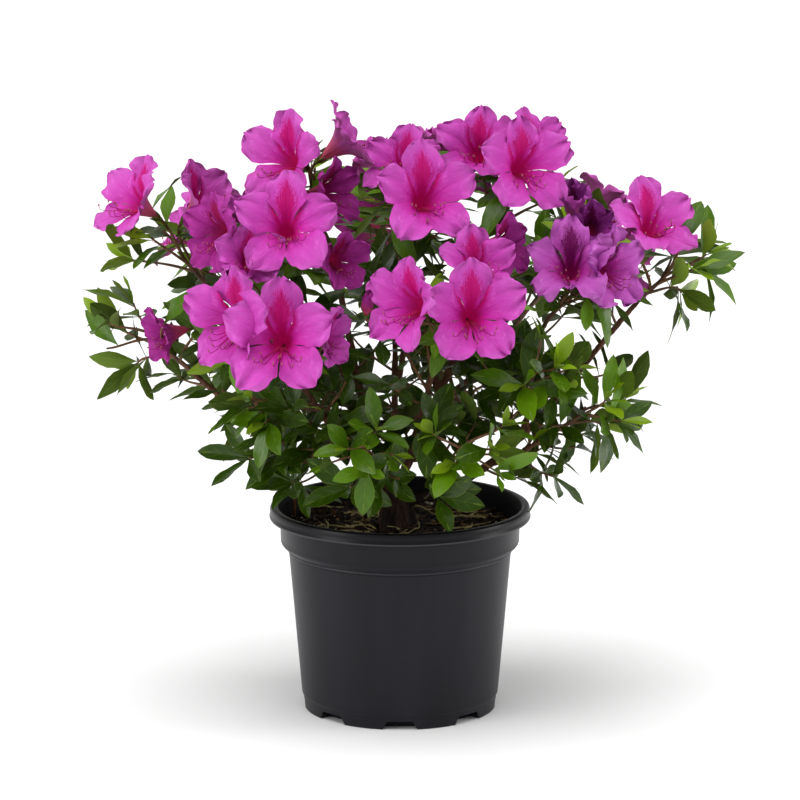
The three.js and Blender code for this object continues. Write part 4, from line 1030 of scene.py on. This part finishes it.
def makePetalFinish(tone):
    look = dict(zip(petalKeys, petalRows[tone]))
    paintedSheen = tuple(min(1.25 * part, 1) for part in look["edge"])
    finish = Finish("petal" + tone, Roughness=0.55, Specular_IOR_Level=0.12, Emission_Strength=1.0)
    place, column, row, right, v = finish.cells()
    cell = column + row * 4
    u = right.abs()
    streak = finish.noise(place, 9, 4, 0.6, (22, 2.4, 1))
    fine = finish.noise(place, 30, 2, 0.6, (10, 4, 1))
    colour = finish.blend(v.ease(0.32, 0.7), look["deep"], look["middle"])
    colour = colour.under(v.ease(0.6, 1.0) * (0.5 + u * 0.5), look["edge"])
    # deeper and paler streaks: the petals' fine veins, and also painted shade and highlights along their
    # creases
    veins = (streak - 0.5) * 3.0
    colour = colour.under(veins.max(0).min(1) * 0.75 * v.ease(1.1, 0.3), look["deep"])
    colour = colour.under((veins * -1).max(0).min(1) * 0.45, look["edge"])
    # broad clouds: partly tone that varies at random, partly painted light and shade of the folds; the pale
    # patches are painted sheen
    cloud = finish.noise(place, 7, 3, 0.6, (3.2, 1.6, 1))
    colour = colour.under(cloud.ease(0.5, 0.7) * 0.6, look["middle"])
    colour = colour.under(cloud.ease(0.46, 0.3) * 0.5 * v.ease(0.35, 0.7), paintedSheen)
    rib = u.ease(0.06, 0.015) * v.ease(0.9, 0.4)
    colour = colour.under(rib * 0.4, look["deep"])
    # Marks: a blotch on the upper petal that breaks up into streaks and dots
    reach = 0.86 - (v - 0.5).max(0) * 1.6
    speckle = (streak - 0.5) * 5.0 + (fine - 0.5) * 4.4
    blotch = ((reach - u) * 4 + speckle).ease(0.2, 1.3) * v.ease(0.95, 0.8) * cell.isNear(0)
    beside = (0.75 - (right + 1.0).abs() - (v - 0.4).max(0) * 1.9) * 4
    beside = (beside + speckle).ease(0.2, 1.4) * v.ease(0.75, 0.55) * cell.isNear(1)
    colour = colour.under((blotch + beside).min(1) * 0.96, look["mark"])
    colour = colour.under(v.ease(0.42, 0.2) * 0.85, look["throat"])
    # Outsides: paler petals on a tube with coral ribs
    outside = finish.blend(v.ease(0.6, 0.15), look["outside"], look["rib"])
    ribbed = finish.blend(rib + (u * 9).sin().ease(0.6, 1) * 0.3 * v.ease(0.8, 0.4), outside, look["rib"])
    ribbed = finish.blend(veins.max(0).min(1) * 0.35, ribbed, look["deep"])
    colour = colour.under(cell.isNear(3), ribbed)
    thread = finish.blend(v.ease(0.1, 0.7), (0.62, 0.03, 0.14), (0.27, 0.0, 0.10))
    colour = colour.under(cell.isNear(4), thread)
    colour = colour.under(cell.isNear(5), (0.42, 0.10, 0.14))
    calyx = finish.blend(v.ease(0.0, 0.8), (0.16, 0.06, 0.03), (0.12, 0.2, 0.03))
    colour = colour.under(cell.isNear(6), calyx)
    finish.feed("Base Color", colour)
    # light that comes through the thin tube into the throat
    glow = v.ease(0.3, 0.1) * cell.isNear(1, 1.6) * 0.16
    finish.feed("Emission Color", finish.blend(glow, (0, 0, 0), look["throat"]))
    finish.bump(rib * -0.6 + streak * 1.1 + cloud * 0.8, 0.7, 0.0016)
    return finish.material


pinkMasses = ("mass_left_upper", "mass_top_left", "mass_right_tip", "mass_back_left", "mass_back_top",
              "mass_back_right")
# blooms that stand in shade take the deep tone: painted shade
shadedBlooms = {("mass_top_left", 2), ("mass_upper_left", 4), ("mass_upper_left", 0), ("mass_top_right", 3),
              ("mass_left", 0), ("mass_back", 1), ("mass_back_left", 2)}


def toneOf(flower):  # buds and fading blooms are deeper, the listed blooms in shade get the deep tone as painted shade, and one spray is bluish
    if (flower["mass"], flower["number"]) in shadedBlooms or flower["open"] < 0.1:
        return "Deep"
    if flower["mass"] == "mass_right":
        return "Faded" if flower["open"] < 0.5 else "Violet"
    return "Pink" if flower["mass"] in pinkMasses else "Rose"


for tone in petalRows:
    store = newStore()
    members = set()
    for flower in allFlowers:
        if toneOf(flower) == tone:
            growBloom(store, flower)
            members.add(flower["mass"])
    piece = pieceFrom("blooms" + tone, store, [makePetalFinish(tone)], sharp=65)
    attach(piece, "root")
    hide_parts(*sorted(members))


# Twigs: brown stems, reddish shoots and green side twigs

twigColours = [(0.105, 0.046, 0.022), (0.15, 0.070, 0.026), (0.12, 0.14, 0.025)]
twigFinishLook = {"rough": 0.62, "specular": 0.35, "scale": 160, "detail": 0.6, "shades": (0.55, 1.35),
                  "from": 0.35, "bump": 0.4, "relief": 0.0004}


def patchyFinish(name, colour, look):  # one colour, darker and lighter in patches
    finish = Finish(name, Roughness=look["rough"], Specular_IOR_Level=look["specular"])
    patch = finish.noise(finish.objectPlace(), look["scale"], 4, look["detail"])
    dark, light = [tuple(shade * part for part in colour) for shade in look["shades"]]
    finish.feed("Base Color", finish.blend(patch.ease(look["from"], 0.7), dark, light))
    finish.bump(patch, look["bump"], look["relief"])
    return finish.material


store = newStore()
for curve, baseRadius, tipRadius, kind, steps in twigs:
    shares = np.linspace(0, 1, steps + 1)
    knots = 1 + 0.08 * np.sin(shares * 37 + baseRadius * 9)
    radii = mix(baseRadius, tipRadius, shares) * knots
    gather(store, *tube(pointsAlong(curve, steps), radii, 6 if kind < 2 else 5), kind)
finishes = [patchyFinish(f"twig{n}", colour, twigFinishLook) for n, colour in enumerate(twigColours)]
twigPiece = pieceFrom("twigs", store, finishes, uvName="UVMap")
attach(twigPiece, "root")
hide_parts(*[mass["name"] for mass in masses], "sucker")


# Trunk and boughs: bars along their curves, melted together at the forks, with the bark's relief

barkLook = {"slender": 0.86, "voxel": 1.15, "ridge": 0.5, "grain": 0.22, "flare": 0.26, "flareHeight": 9,
            "lobes": 0.13, "rings": 13, "sides": 28,
            "youngFrom": (0.178, 0.215), "mossColour": (0.12, 0.095, 0.055),
            "oldAndShaded": [(0.3, (0.004, 0.002, 0.0015)), (0.48, (0.017, 0.008, 0.005)),
                    (0.66, (0.085, 0.040, 0.022))],
            "young": [(0.32, (0.035, 0.014, 0.008)), (0.5, (0.115, 0.046, 0.022)),
                      (0.68, (0.20, 0.10, 0.05))]}


def makeTrunk():
    store = newStore()
    rings, sides = barkLook["rings"], barkLook["sides"]
    shares = np.linspace(0, 1, rings)
    points = np.array([trunkPoint(share) for share in shares])
    height = shares * (trunkSizes["fork"][2] - soilLevel)
    radii = mix(trunkSizes["footRadius"], trunkSizes["forkRadius"], shares) * (
        1 + barkLook["flare"] * np.exp(-height / barkLook["flareHeight"]))
    radii[-1] *= 0.72
    points[0] -= vec(0, 0, 3)
    verts, *faces = tube(points, radii, sides)
    spokes = verts[:-2].reshape(rings, sides, 3) - points[:, None]
    angle = np.arange(sides) * 2 * np.pi / sides
    lobes = 1 + barkLook["lobes"] * np.cos(5 * angle + 0.8) + 0.06 * np.cos(9 * angle + 2)
    verts[:-2] = (points[:, None] + spokes * lobes[None, :, None]).reshape(-1, 3)
    gather(store, verts, *faces)
    for name in limbNames:
        bough = laidBoughs[name]
        shares = np.linspace(0, 1, 25)
        radii = mix(limbSizes["baseRadius"], limbSizes["tipRadius"], shares)
        radii = radii * bough["girth"] * barkLook["slender"]
        seed = len(name) + bough["girth"]
        radii = radii * (1 + 0.06 * np.sin(shares * 31 + seed) + 0.05 * np.sin(shares * 57 + 2 * seed))
        gather(store, *tube(pointsAlong(bough["curve"], 24), radii, 12))
    piece = pieceFrom("trunkAndBoughs", store, [])
    applyModifier(piece, "REMESH", mode="VOXEL", voxel_size=barkLook["voxel"] * mm, use_smooth_shade=True)
    applyModifier(piece, "SMOOTH", factor=0.5, iterations=3)
    count = len(piece.data.vertices)
    places, normals = np.zeros(count * 3), np.zeros(count * 3)
    piece.data.vertices.foreach_get("co", places)
    piece.data.vertices.foreach_get("normal", normals)
    relief = []
    for x, y, z in places.reshape(-1, 3) * 1000:  # ridges run up the limbs
        ridge = noise.fractal(Vector((x * 0.34, y * 0.34, z * 0.09)), 1.0, 2.0, 3)
        relief.append(barkLook["ridge"] * ridge + barkLook["grain"] * noise.noise(Vector((x, y, z)) * 0.9))
    places = places.reshape(-1, 3) + normals.reshape(-1, 3) * np.array(relief)[:, None] * mm
    piece.data.vertices.foreach_set("co", places.ravel())
    piece.data.update()
    return piece


def makeBarkFinish():
    finish = Finish("barkFinish", Specular_IOR_Level=0.25)
    place = finish.objectPlace()
    broad = finish.noise(place, 90, 5, 0.62, (1, 1, 0.3))
    flake = finish.noise(place, 420, 4, 0.6, (1, 1, 0.35))
    # low on the stump the bark is old and dark, and darker still as painted shade under the crown
    colour = finish.ramp(broad * 0.6 + flake * 0.4, *barkLook["oldAndShaded"])
    young = finish.axes(place)[2].ease(*barkLook["youngFrom"])
    colour = colour.under(young * 0.75, finish.ramp(broad * 0.5 + flake * 0.5, *barkLook["young"]))
    moss = finish.noise(place, 45, 3, 0.5).ease(0.58, 0.7)
    colour = colour.under(moss * 0.15, barkLook["mossColour"])
    finish.feed("Base Color", colour)
    finish.feed("Roughness", 0.72 + flake * 0.2)
    finish.bump(broad * 0.6 + flake * 0.5, 0.7, 0.001)
    return finish.material


trunkPiece = makeTrunk()
paintPiece(trunkPiece, makeBarkFinish())
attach(trunkPiece, "root")
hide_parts("trunk", *limbNames)
print("Bark:", len(trunkPiece.data.polygons), "faces")


# Pot

potLook = {"corners": 160, "bottom": 78.6, "foot": 79.2,
           "notches": 8, "notchHeight": 7, "notchDepth": 24, "notchFoot": 31, "notchTop": 21}
# radius and height of the outside, up to the top of the rolled rim, and of the inside back down
potOutside = [
    (79.2, 0.6), (79.8, 10.4), (80.2, 11.3), (80.8, 11.8), (81.1, 12.6), (81.3, 14.5), (91.3, 129.4),
    (91.5, 132.2), (92.4, 132.6), (92.8, 133.4), (92.6, 134.2), (93.2, 135), (96.8, 138), (97.8, 139.4),
    (98.2, 141), (98.6, 157.6), (98.9, 159.2), (103.6, 159.4), (105.8, 159.6), (106.9, 160), (107.4, 160.8),
    (107.4, 161.8), (106.9, 162.6), (106.8, 166), (106.9, 167.4), (106.2, 169.2), (104.6, 170),
]
potInside = [
    (102.4, 170), (101, 169.7), (99.8, 168.4), (99.2, 167), (98.6, 163.4), (98, 163), (97.7, 158),
    (96.2, 141.6), (95.2, 139), (90, 132.8), (89.6, 130), (79.6, 15), (78, 3.2),
]


def makePot():
    look = potLook
    deselectAll()
    bpy.ops.mesh.primitive_circle_add(vertices=look["corners"], radius=look["bottom"] * mm, fill_type="NGON")
    pot = bpy.context.object
    pot.name = "potShell"
    inMode("EDIT")
    bpy.ops.mesh.select_all(action="SELECT")
    radius, height = look["bottom"], 0.0
    for nextRadius, nextHeight in potOutside + potInside:
        grow = nextRadius / radius
        extrudeTo((grow, grow, 1), nextHeight, nextHeight - height)
        radius, height = nextRadius, nextHeight
    closeOff()
    cutNotches(pot)
    onlySelect(pot)
    bpy.ops.object.shade_smooth_by_angle(angle=radians(40))
    return pot


def cutNotches(pot):
    look = potLook
    cutters = []
    for number in range(look["notches"]):
        deselectAll()
        middle = (look["notchHeight"] / 2 - 1) * mm
        bpy.ops.mesh.primitive_cube_add(size=1, location=(0, -look["foot"] * mm, middle))
        cutter = bpy.context.object
        cutter.scale = (look["notchFoot"] * mm, look["notchDepth"] * mm, (look["notchHeight"] + 2) * mm)
        applyPlace(cutter)
        selectVerts(cutter, lambda place: place.z > 0)
        narrow = look["notchTop"] / look["notchFoot"]
        bpy.ops.transform.resize(value=(narrow, 1, 1), center_override=(0, 0, 0))
        inMode("OBJECT")
        applyModifier(cutter, "BEVEL", width=1.2 * mm, segments=2)
        cutter.rotation_euler.z = 2 * pi * number / look["notches"]
        applyPlace(cutter)
        cutters.append(cutter)
    for cutter in cutters:
        applyModifier(pot, "BOOLEAN", operation="DIFFERENCE", solver="EXACT", object=cutter)
        bpy.data.objects.remove(cutter)


# metres, as the finish sees them: where the shoulder, the lip and the beads are
potHeights = {"shoulder": (0.134, 0.14), "shadedLip": (0.1592, 0.160), "rimBead": 0.1611, "shoulderBead": 0.1334,
              "underRim": 0.1588, "underShoulder": 0.1318, "inside": (0.14, 0.1415)}


def makePotFinish():
    at = potHeights
    finish = Finish("potPlastic", Specular_IOR_Level=0.16)
    place = finish.objectPlace()
    x, y, z = finish.axes(place)
    flow = finish.noise(place, 24, 4, 0.55, (1, 1, 0.18))
    grain = finish.noise(place, 1500, 2, 0.5)
    dust = finish.noise(place, 60, 5, 0.65).ease(0.5, 0.85) * z.ease(0.03, 0.0)
    splash = finish.noise(place, 95, 5, 0.7).ease(0.62, 0.8) * z.ease(0.15, 0.165)
    colour = finish.blend(flow.ease(0.3, 0.75), (0.008, 0.0078, 0.0108), (0.012, 0.0118, 0.0162))
    # painted shade: the band above the shoulder is darker, as in the shadow of the foliage
    shadedBand = z.ease(*at["shoulder"])
    colour = colour.under(shadedBand * 0.45, (0.0045, 0.0045, 0.0065))
    # painted shade: the rolled rim is darker still, under the foliage
    shadedLip = z.ease(*at["shadedLip"])
    colour = colour.under(shadedLip * 0.8, (0.002, 0.002, 0.003))
    # painted highlights on the rim's bead and the shoulder's, and a painted shadow line under each
    paintedHighlights = (z - at["rimBead"]).abs().ease(0.0009, 0.0003)
    paintedHighlights = paintedHighlights + (z - at["shoulderBead"]).abs().ease(0.0008, 0.0003) * 0.7
    paintedShadowLines = z.isNear(at["underRim"], 0.0008) + z.isNear(at["underShoulder"], 0.0006) * 0.8
    colour = colour.under(paintedHighlights.min(1) * 0.7, (0.055, 0.054, 0.060))
    colour = colour.under(paintedShadowLines.min(1) * 0.8, (0.001, 0.001, 0.001))
    radius = (x * x + y * y) ** 0.5
    # painted shade: the inner wall above the shoulder is darker, as in the pot's own shadow
    inside = (radius - z.ease(0.158, 0.165) * 0.0022).ease(0.0983, 0.098) * z.ease(*at["inside"])
    colour = colour.under(inside * 0.85, (0.0015, 0.0015, 0.002))
    colour = colour.under(dust * 0.25 + splash * 0.1, (0.07, 0.062, 0.052))
    finish.feed("Base Color", colour)
    finish.feed("Roughness", 0.36 + flow * 0.12 + dust * 0.2 - shadedBand * 0.06 + inside * 0.3)
    finish.bump(grain * 0.6 + flow * 0.5, 0.12, 0.0006)
    return finish.material


potPiece = makePot()
paintPiece(potPiece, makePotFinish())
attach(potPiece, "root")
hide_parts("pot")
print("Pot:", len(potPiece.data.polygons), "faces")


# Soil: a lumpy top with bark chips, straw and perlite on it

soilLook = {"radius": 96.6, "cells": 150, "lumps": 3.0, "chips": 900, "straws": 44, "perlite": 70,
            "below": [(95.4, 143), (93.8, 139), (88.7, 132.4), (88.2, 128), (78.8, 20)],
            "shades": [(0.3, (0.004, 0.003, 0.002)), (0.5, (0.018, 0.012, 0.007)),
                       (0.68, (0.09, 0.055, 0.030))],
            "chipsTo": 93, "strawsTo": 84, "aroundStump": 14}

# dark chips, brown chips, pale chips and straw, perlite, straw
litterLook = {"colours": [(0.026, 0.015, 0.009), (0.085, 0.042, 0.021), (0.26, 0.16, 0.075),
                          (0.72, 0.68, 0.56), (0.46, 0.37, 0.17)],
              "rough": 0.8, "specular": 0.25, "scale": 300, "detail": 0.65, "shades": (0.5, 1.3), "from": 0.3,
              "bump": 0.6, "relief": 0.0006}


def soilHeight(x, y):
    away = hypot(x, y)
    broad = noise.fractal(Vector((x * 0.035, y * 0.035, 3.0)), 1.0, 2.0, 2)
    fine = noise.fractal(Vector((x * 0.16, y * 0.16, 8.0)), 1.0, 2.0, 3)
    return soilLevel + soilLook["lumps"] * broad + 1.5 * fine - 0.8 * (away / 96) ** 6


def makeSoil():
    look = soilLook
    deselectAll()
    bpy.ops.mesh.primitive_grid_add(x_subdivisions=look["cells"], y_subdivisions=look["cells"],
                                    size=2 * look["radius"] * mm, location=(0, 0, soilLevel * mm))
    soil = bpy.context.object
    soil.name = "soilBed"
    applyPlace(soil)
    outer = look["radius"] * mm
    selectVerts(soil, lambda place: hypot(place.x, place.y) > outer * 1.004)
    bpy.ops.mesh.delete(type="VERT")
    inMode("OBJECT")
    for vert in soil.data.vertices:
        away = hypot(vert.co.x, vert.co.y)
        if away > outer * 0.985:
            vert.co.x *= outer / away
            vert.co.y *= outer / away
        vert.co.z = soilHeight(vert.co.x * 1000, vert.co.y * 1000) * mm
    inMode("EDIT")
    bpy.ops.mesh.select_all(action="SELECT")
    bpy.ops.mesh.region_to_loop()
    radius = look["radius"]
    for nextRadius, nextHeight in look["below"]:  # down inside the pot, step by step
        shrink = nextRadius / radius
        extrudeTo((shrink, shrink, 0), nextHeight, nextHeight - soilLevel)
        radius = nextRadius
    bpy.ops.mesh.edge_face_add()
    closeOff()
    bpy.ops.object.shade_smooth_by_angle(angle=radians(60))
    return soil


def makeSoilFinish():
    finish = Finish("pottingMix", Specular_IOR_Level=0.2)
    place = finish.objectPlace()
    broad = finish.noise(place, 70, 5, 0.65)
    crumb = finish.noise(place, 600, 5, 0.7)
    colour = finish.ramp(broad * 0.45 + crumb * 0.55, *soilLook["shades"])
    finish.feed("Base Color", colour)
    finish.feed("Roughness", 0.85 + crumb * 0.12)
    finish.bump(crumb + broad * 0.4, 1.0, 0.002)
    return finish.material


def spotOn(reach, draw):  # a place on the soil's disc
    away, around = reach * sqrt(draw[0]), 2 * pi * draw[1]
    return away * cos(around), away * sin(around)


def makeLitter():
    look = soilLook
    store = newStore()
    box = np.array([[x, y, z] for x in (-1, 1) for y in (-1, 1) for z in (-1, 1)], float)
    boxFaces = [(0, 1, 3, 2), (4, 6, 7, 5), (0, 4, 5, 1), (2, 3, 7, 6), (0, 2, 6, 4), (1, 5, 7, 3)]
    for number in range(look["chips"] + look["perlite"]):
        draw = [chance(number, 800 + n) for n in range(12)]
        isPerlite = number >= look["chips"]
        x, y = spotOn(look["chipsTo"], draw)
        if hypot(x + 3, y + 4) < look["aroundStump"]:
            continue
        half = vec(1.6 + 4.2 * draw[2] ** 2, 1.2 + 1.8 * draw[3], 0.5 + 0.9 * draw[4])
        if isPerlite:
            half = vec(1, 1, 0.9) * (0.6 + 0.8 * draw[2])
        bumps = np.array([[1 - 0.45 * chance(number, 820 + 3 * c + a) for a in range(3)] for c in range(8)])
        verts = box * half * bumps
        turn, lean = 2 * pi * draw[5], draw[6] - 0.5
        spin = np.array([[cos(turn), -sin(turn), 0], [sin(turn), cos(turn), 0], [0, 0, 1]])
        tip = np.array([[cos(lean), 0, sin(lean)], [0, 1, 0], [-sin(lean), 0, cos(lean)]])
        verts = verts @ (spin @ tip).T + vec(x, y, soilHeight(x, y) + 0.3 + 1.2 * draw[7])
        kind = 3 if isPerlite else int(np.searchsorted([0.68, 0.95], draw[8]))
        gather(store, verts, boxFaces, kind=kind)
    for number in range(look["straws"]):
        draw = [chance(number, 900 + n) for n in range(8)]
        middle = vec(*spotOn(look["strawsTo"], draw), 0)
        turn, length = 2 * pi * draw[2], 12 + 26 * draw[3]
        heading = vec(cos(turn), sin(turn), 0)
        side = vec(-heading[1], heading[0], 0)
        points = []
        for share in np.linspace(-0.5, 0.5, 6):
            curl = length * 0.5 * (draw[4] - 0.5) * (share * share * 4)
            spot = middle + heading * length * share + side * curl
            away = hypot(spot[0], spot[1])
            spot *= min(1, 92 / max(away, 1e-6))
            spot[2] = soilHeight(spot[0], spot[1]) + 1.2 + 1.5 * draw[5] + 3 * draw[6] * (share + 0.5) ** 2
            points.append(spot)
        if min(hypot(spot[0] + 3, spot[1] + 4) for spot in points) > look["aroundStump"] + 1:
            gather(store, *tube(points, np.full(6, 0.45 + 0.5 * draw[7]), 4), kind=4 if draw[5] > 0.3 else 2)
    colours = litterLook["colours"]
    finishes = [patchyFinish(f"litter{n}", colour, litterLook) for n, colour in enumerate(colours)]
    return pieceFrom("soilLitter", store, finishes, sharp=30, uvName="UVMap")


soilPiece = makeSoil()
paintPiece(soilPiece, makeSoilFinish())
litterPiece = makeLitter()
for piece in (soilPiece, litterPiece):
    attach(piece, "root")
    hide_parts("soil")
print("Soil:", len(soilPiece.data.polygons), "faces")


# Studio: pale floor, large soft lights, camera a little above the pot's rim

studioLook = {
    "floor": 60, "floorColour": (0.92, 0.92, 0.92), "world": 0.62,
    "sun": ((-0.1, -0.16, 0.95), 2.2, 56),
    "boxes": {"leftBox": ((-1.5, -0.9, 0.45), 0.7, 9), "rightBox": ((1.5, -0.1, 0.45), 0.6, 7)},
    "aim": (0, 0, 0.28),
    "camera": (0, -3.6, 1.026), "pitch": 12.05, "lens": 202.5, "film": 36, "farthest": 60,
}


def addLamp(kind, name, place, aim, **settings):
    bpy.ops.object.light_add(type=kind, location=place)
    lamp = bpy.context.object
    lamp.name = name
    for key, value in settings.items():
        setattr(lamp.data, key, value)
    lamp.rotation_euler = (Vector(aim) - Vector(place)).to_track_quat("-Z", "Y").to_euler()


def makeStudio():
    look = studioLook
    deselectAll()
    bpy.ops.mesh.primitive_plane_add(size=look["floor"], location=(0, 0, 0))
    ground = bpy.context.object
    ground.name = "studioFloor"
    finish = Finish("floorFinish", Roughness=0.9, Specular_IOR_Level=0.1)
    finish.shader.inputs["Base Color"].default_value = (*look["floorColour"], 1)
    paintPiece(ground, finish.material)
    place, power, width = look["sun"]
    addLamp("SUN", "sun", place, (0, 0, 0), energy=power, angle=radians(width))
    for name, (place, size, power) in look["boxes"].items():
        addLamp("AREA", name, place, look["aim"], size=size, energy=power)
    world = bpy.data.worlds.new("softRoom")
    world.use_nodes = True
    background = world.node_tree.nodes["Background"]
    background.inputs["Color"].default_value = (1, 1, 1, 1)
    background.inputs["Strength"].default_value = look["world"]
    scene = bpy.context.scene
    scene.world = world
    scene.view_settings.view_transform = "Standard"
    bpy.ops.object.camera_add(location=look["camera"], rotation=(radians(90 - look["pitch"]), 0, 0))
    camera = bpy.context.object
    camera.data.lens = look["lens"]
    camera.data.sensor_width = look["film"]
    camera.data.clip_end = look["farthest"]
    scene.camera = camera


makeStudio()
deselectAll()
